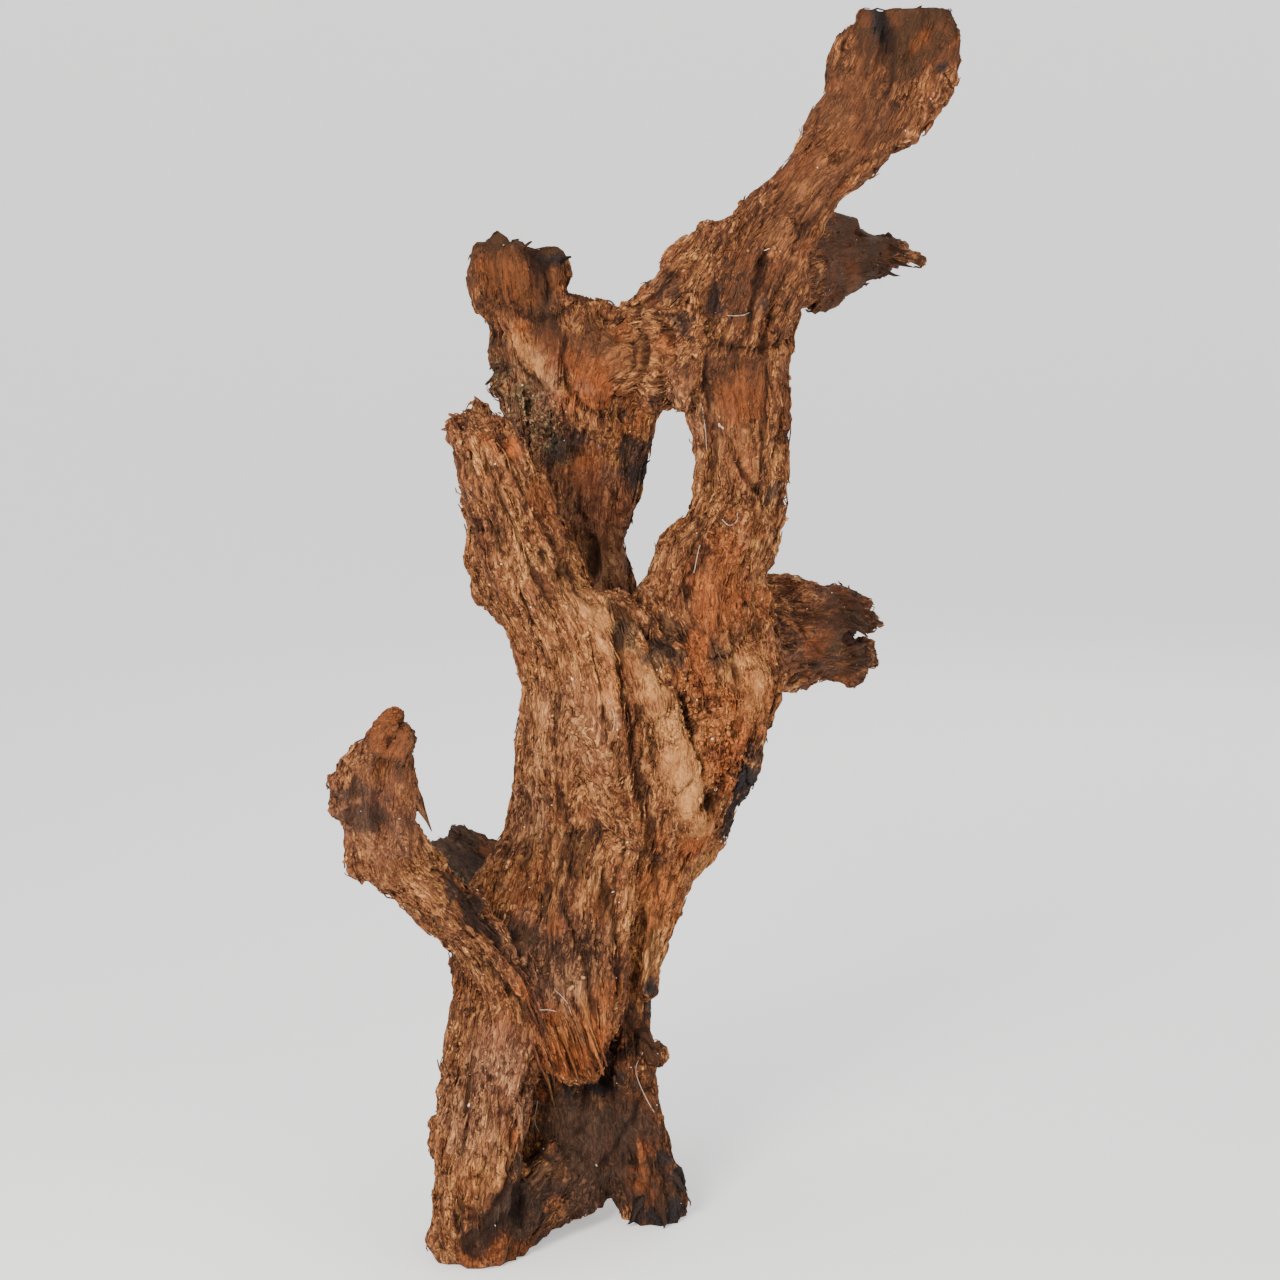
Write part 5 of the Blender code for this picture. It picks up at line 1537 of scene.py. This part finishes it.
def rootlet_mesh(ground, tree):
    """Dry rootlets that lie on the wood: three-sided tubes along curves through their places.

    A rootlet that runs past an edge keeps near the depth of its first place.
    """
    lines, radii = [], []
    for places, radius, off in ROOTLETS.values():
        rows = np.asarray(places, float)
        spots = on_front(rows, tree) - AHEAD * off / MM_PER_M
        behind = (spots - spots[0]) @ AHEAD
        reach = ROOTLET_SLOPE * np.linalg.norm(rows - rows[0], axis=1)
        spots -= (behind - np.clip(behind, -reach, reach))[:, None] * AHEAD
        lines.append(even_points(curve_rows(spots, ROOTLET_SPACING), ROOTLET_RINGS))
        radii.append(radius / MM_PER_M)
    across, up, wide, high, radius = RING_HAIR
    turn = np.linspace(0.0, RING_HAIR_TURN, ROOTLET_RINGS)[:, None]
    centre = on_front([(across, up)], tree)[0] - AHEAD * RING_HAIR_OFF
    ring = np.cos(turn) * [wide / MM_PER_M, 0.0, 0.0] + np.sin(turn) * ABOVE * high / MM_PER_M
    lines.append(centre + ring)
    radii.append(radius / MM_PER_M)
    lines, radii = np.stack(lines), np.array(radii)
    half = np.repeat(radii[:, None], ROOTLET_RINGS, axis=1)
    outs = np.broadcast_to(-AHEAD, lines.shape)
    mesh = strand_mesh("rootlets", lines, outs, half, half, radii.mean() * ROOTLET_SUNK)
    owners = np.repeat(nearest(lines[:, 0], ground.points), ROOTLET_RINGS * 3 + 2)
    keep_masks(mesh, ground, owners, *(np.full(len(lines), tone) for tone in ROOTLET_TONES))
    return mesh


def even_points(line, count):
    """A line's rows resampled to a count at even steps of its length."""
    run = np.concatenate([[0.0], np.cumsum(np.linalg.norm(np.diff(line, axis=0), axis=1))])
    at = np.linspace(0.0, run[-1], count)
    return np.stack([np.interp(at, run, line[:, k]) for k in range(3)], axis=1)


def finished_skin():
    """The finished skin as arrays, and as a tree that rays are cast at."""
    skin = bpy.data.objects["weathered_skin"]
    return Ground(skin), BVHTree.FromObject(skin, bpy.context.evaluated_depsgraph_get())


def dress(piece):
    """Gives a piece the wood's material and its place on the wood."""
    piece.data.materials.clear()
    piece.data.materials.append(bpy.data.materials["weathered_wood"])
    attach(piece, "root")


class DRIFTWOOD_OT_skin(StagedOperator, bpy.types.Operator):
    """Grow the weathered skin on the solid"""

    bl_idname = "driftwood.skin"
    bl_label = "Carve the skin"

    def execute(self, context):
        wood_material(context.scene.driftwood_colours, grain_group())
        skin = carved_skin(context.scene.driftwood_sizes)
        dress(skin)
        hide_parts("driftwood")
        return {"FINISHED"}


class DRIFTWOOD_OT_strands(StagedOperator, bpy.types.Operator):
    """Lay fine fibres, bundles and flakes on the skin along its grain"""

    bl_idname = "driftwood.strands"
    bl_label = "Lay the strands"

    def execute(self, context):
        ground, _ = finished_skin()
        for seed, name in enumerate(STRANDS, STRAND_SEED):
            dress(new_object(name, laid_strands(name, ground, seed)))
        return {"FINISHED"}


class DRIFTWOOD_OT_shards(StagedOperator, bpy.types.Operator):
    """Break shards off the ends and edges"""

    bl_idname = "driftwood.shards"
    bl_label = "Break the edges"

    def execute(self, context):
        dress(new_object("broken_shards", broken_shards(*finished_skin())))
        return {"FINISHED"}


class DRIFTWOOD_OT_litter(StagedOperator, bpy.types.Operator):
    """Strew crumbs, grit, chips and rootlets on the wood"""

    bl_idname = "driftwood.litter"
    bl_label = "Strew the litter"

    def execute(self, context):
        ground, tree = finished_skin()
        meshes = [strewn_lumps(name, ground, seed) for seed, name in enumerate(LUMPS, LUMP_SEED)]
        meshes += [placed_chips(ground, tree), rootlet_mesh(ground, tree)]
        for mesh in meshes:
            dress(new_object(mesh.name, mesh))
        return {"FINISHED"}


def add_floor():
    """A round floor that curves up into a wall: a profile turned about the middle."""
    flat = np.linspace(0.0, FLOOR_RADIUS, FLOOR_RINGS)
    bend = np.linspace(0.0, math.pi / 2, BEND_RINGS)[1:]
    rise = np.linspace(WALL_CURVE, WALL_HEIGHT, WALL_RINGS)[1:]
    rim = FLOOR_RADIUS + WALL_CURVE
    radius = np.concatenate([flat, FLOOR_RADIUS + WALL_CURVE * np.sin(bend), np.full(len(rise), rim)])
    height = np.concatenate([np.zeros(FLOOR_RINGS), WALL_CURVE * (1.0 - np.cos(bend)), rise])
    turn = np.arange(FLOOR_SIDES) * 2 * math.pi / FLOOR_SIDES
    grid = np.stack([
        radius[:, None] * np.cos(turn), radius[:, None] * np.sin(turn),
        np.repeat(height[:, None], FLOOR_SIDES, axis=1),
    ], axis=2)
    index = np.arange(grid.shape[0] * FLOOR_SIDES).reshape(-1, FLOOR_SIDES)
    after = np.roll(index, -1, axis=1)
    faces = np.stack([index[:-1], index[1:], after[1:], after[:-1]], axis=2).reshape(-1, 4)
    mesh = bpy.data.meshes.new("floor")
    mesh.from_pydata(grid.reshape(-1, 3).tolist(), [], faces.tolist())
    joined(mesh, mesh).shade_smooth()
    made = bpy.data.materials.new("pale_floor")
    made.use_nodes = True
    shader = made.node_tree.nodes["Principled BSDF"]
    for name, value in FLOOR_FINISH.items():
        shader.inputs[name].default_value = value
    mesh.materials.append(made)
    new_object("floor", mesh)


def add_lights():
    """Soft square lights aimed at the wood's middle, and an even pale sky."""
    for name, (place, size, power, tint) in LIGHTS.items():
        light = bpy.data.lights.new(name, "AREA")
        light.energy = power
        light.size = size
        light.color = tint
        lamp = bpy.data.objects.new(name, light)
        lamp.location = place
        way = Vector((0.0, 0.0, EYE_HEIGHT)) - Vector(place)
        lamp.rotation_euler = way.to_track_quat("-Z", "Y").to_euler()
        bpy.context.scene.collection.objects.link(lamp)
    world = bpy.data.worlds.new("sky")
    world.use_nodes = True
    sky = world.node_tree.nodes["Background"]
    sky.inputs["Color"].default_value = SKY_TINT
    sky.inputs["Strength"].default_value = SKY_STRENGTH
    bpy.context.scene.world = world


def add_camera(scene):
    """The camera at the viewing point, with the picture plane as its frame."""
    camera = bpy.data.cameras.new("camera")
    eye = bpy.data.objects.new("camera", camera)
    eye.location = Vector((EYE_SIDE, 0.0, EYE_HEIGHT)) - Vector(EYE_DISTANCE * AHEAD)
    eye.rotation_euler = Vector(AHEAD).to_track_quat("-Z", "Y").to_euler()
    span = PICTURE_SPAN * PICTURE_MM
    camera.sensor_width = SENSOR_MM
    camera.sensor_fit = "HORIZONTAL"
    camera.lens = SENSOR_MM * EYE_DISTANCE / span
    camera.shift_y = (PICTURE_FOOT + PICTURE_MIDDLE * PICTURE_MM) / span
    scene.collection.objects.link(eye)
    scene.camera = eye


class DRIFTWOOD_PT_panel(bpy.types.Panel):
    """Lists the steps and their sizes and colours"""

    bl_idname = "DRIFTWOOD_PT_panel"
    bl_label = "Driftwood"
    bl_space_type = "VIEW_3D"
    bl_region_type = "UI"
    bl_category = "Driftwood"

    def draw(self, context):
        for group in (context.scene.driftwood_sizes, context.scene.driftwood_colours):
            for name in group.__annotations__:
                self.layout.prop(group, name)
        for step in STEPS:
            self.layout.operator(step.bl_idname)


STEPS = (DRIFTWOOD_OT_stage, DRIFTWOOD_OT_skin, DRIFTWOOD_OT_strands, DRIFTWOOD_OT_shards,
         DRIFTWOOD_OT_litter)
CLASSES = (DriftwoodSizes, DriftwoodColours, *STEPS, DRIFTWOOD_PT_panel)


def register():
    for made in CLASSES:
        bpy.utils.register_class(made)
    bpy.types.Scene.driftwood_sizes = bpy.props.PointerProperty(type=DriftwoodSizes)
    bpy.types.Scene.driftwood_colours = bpy.props.PointerProperty(type=DriftwoodColours)


def unregister():
    del bpy.types.Scene.driftwood_sizes
    del bpy.types.Scene.driftwood_colours
    for made in reversed(CLASSES):
        bpy.utils.unregister_class(made)


def main():
    register()
    bpy.ops.driftwood.stage()
    bpy.ops.driftwood.skin()
    bpy.ops.driftwood.strands()
    bpy.ops.driftwood.shards()
    bpy.ops.driftwood.litter()


if __name__ == "__main__":
    main()
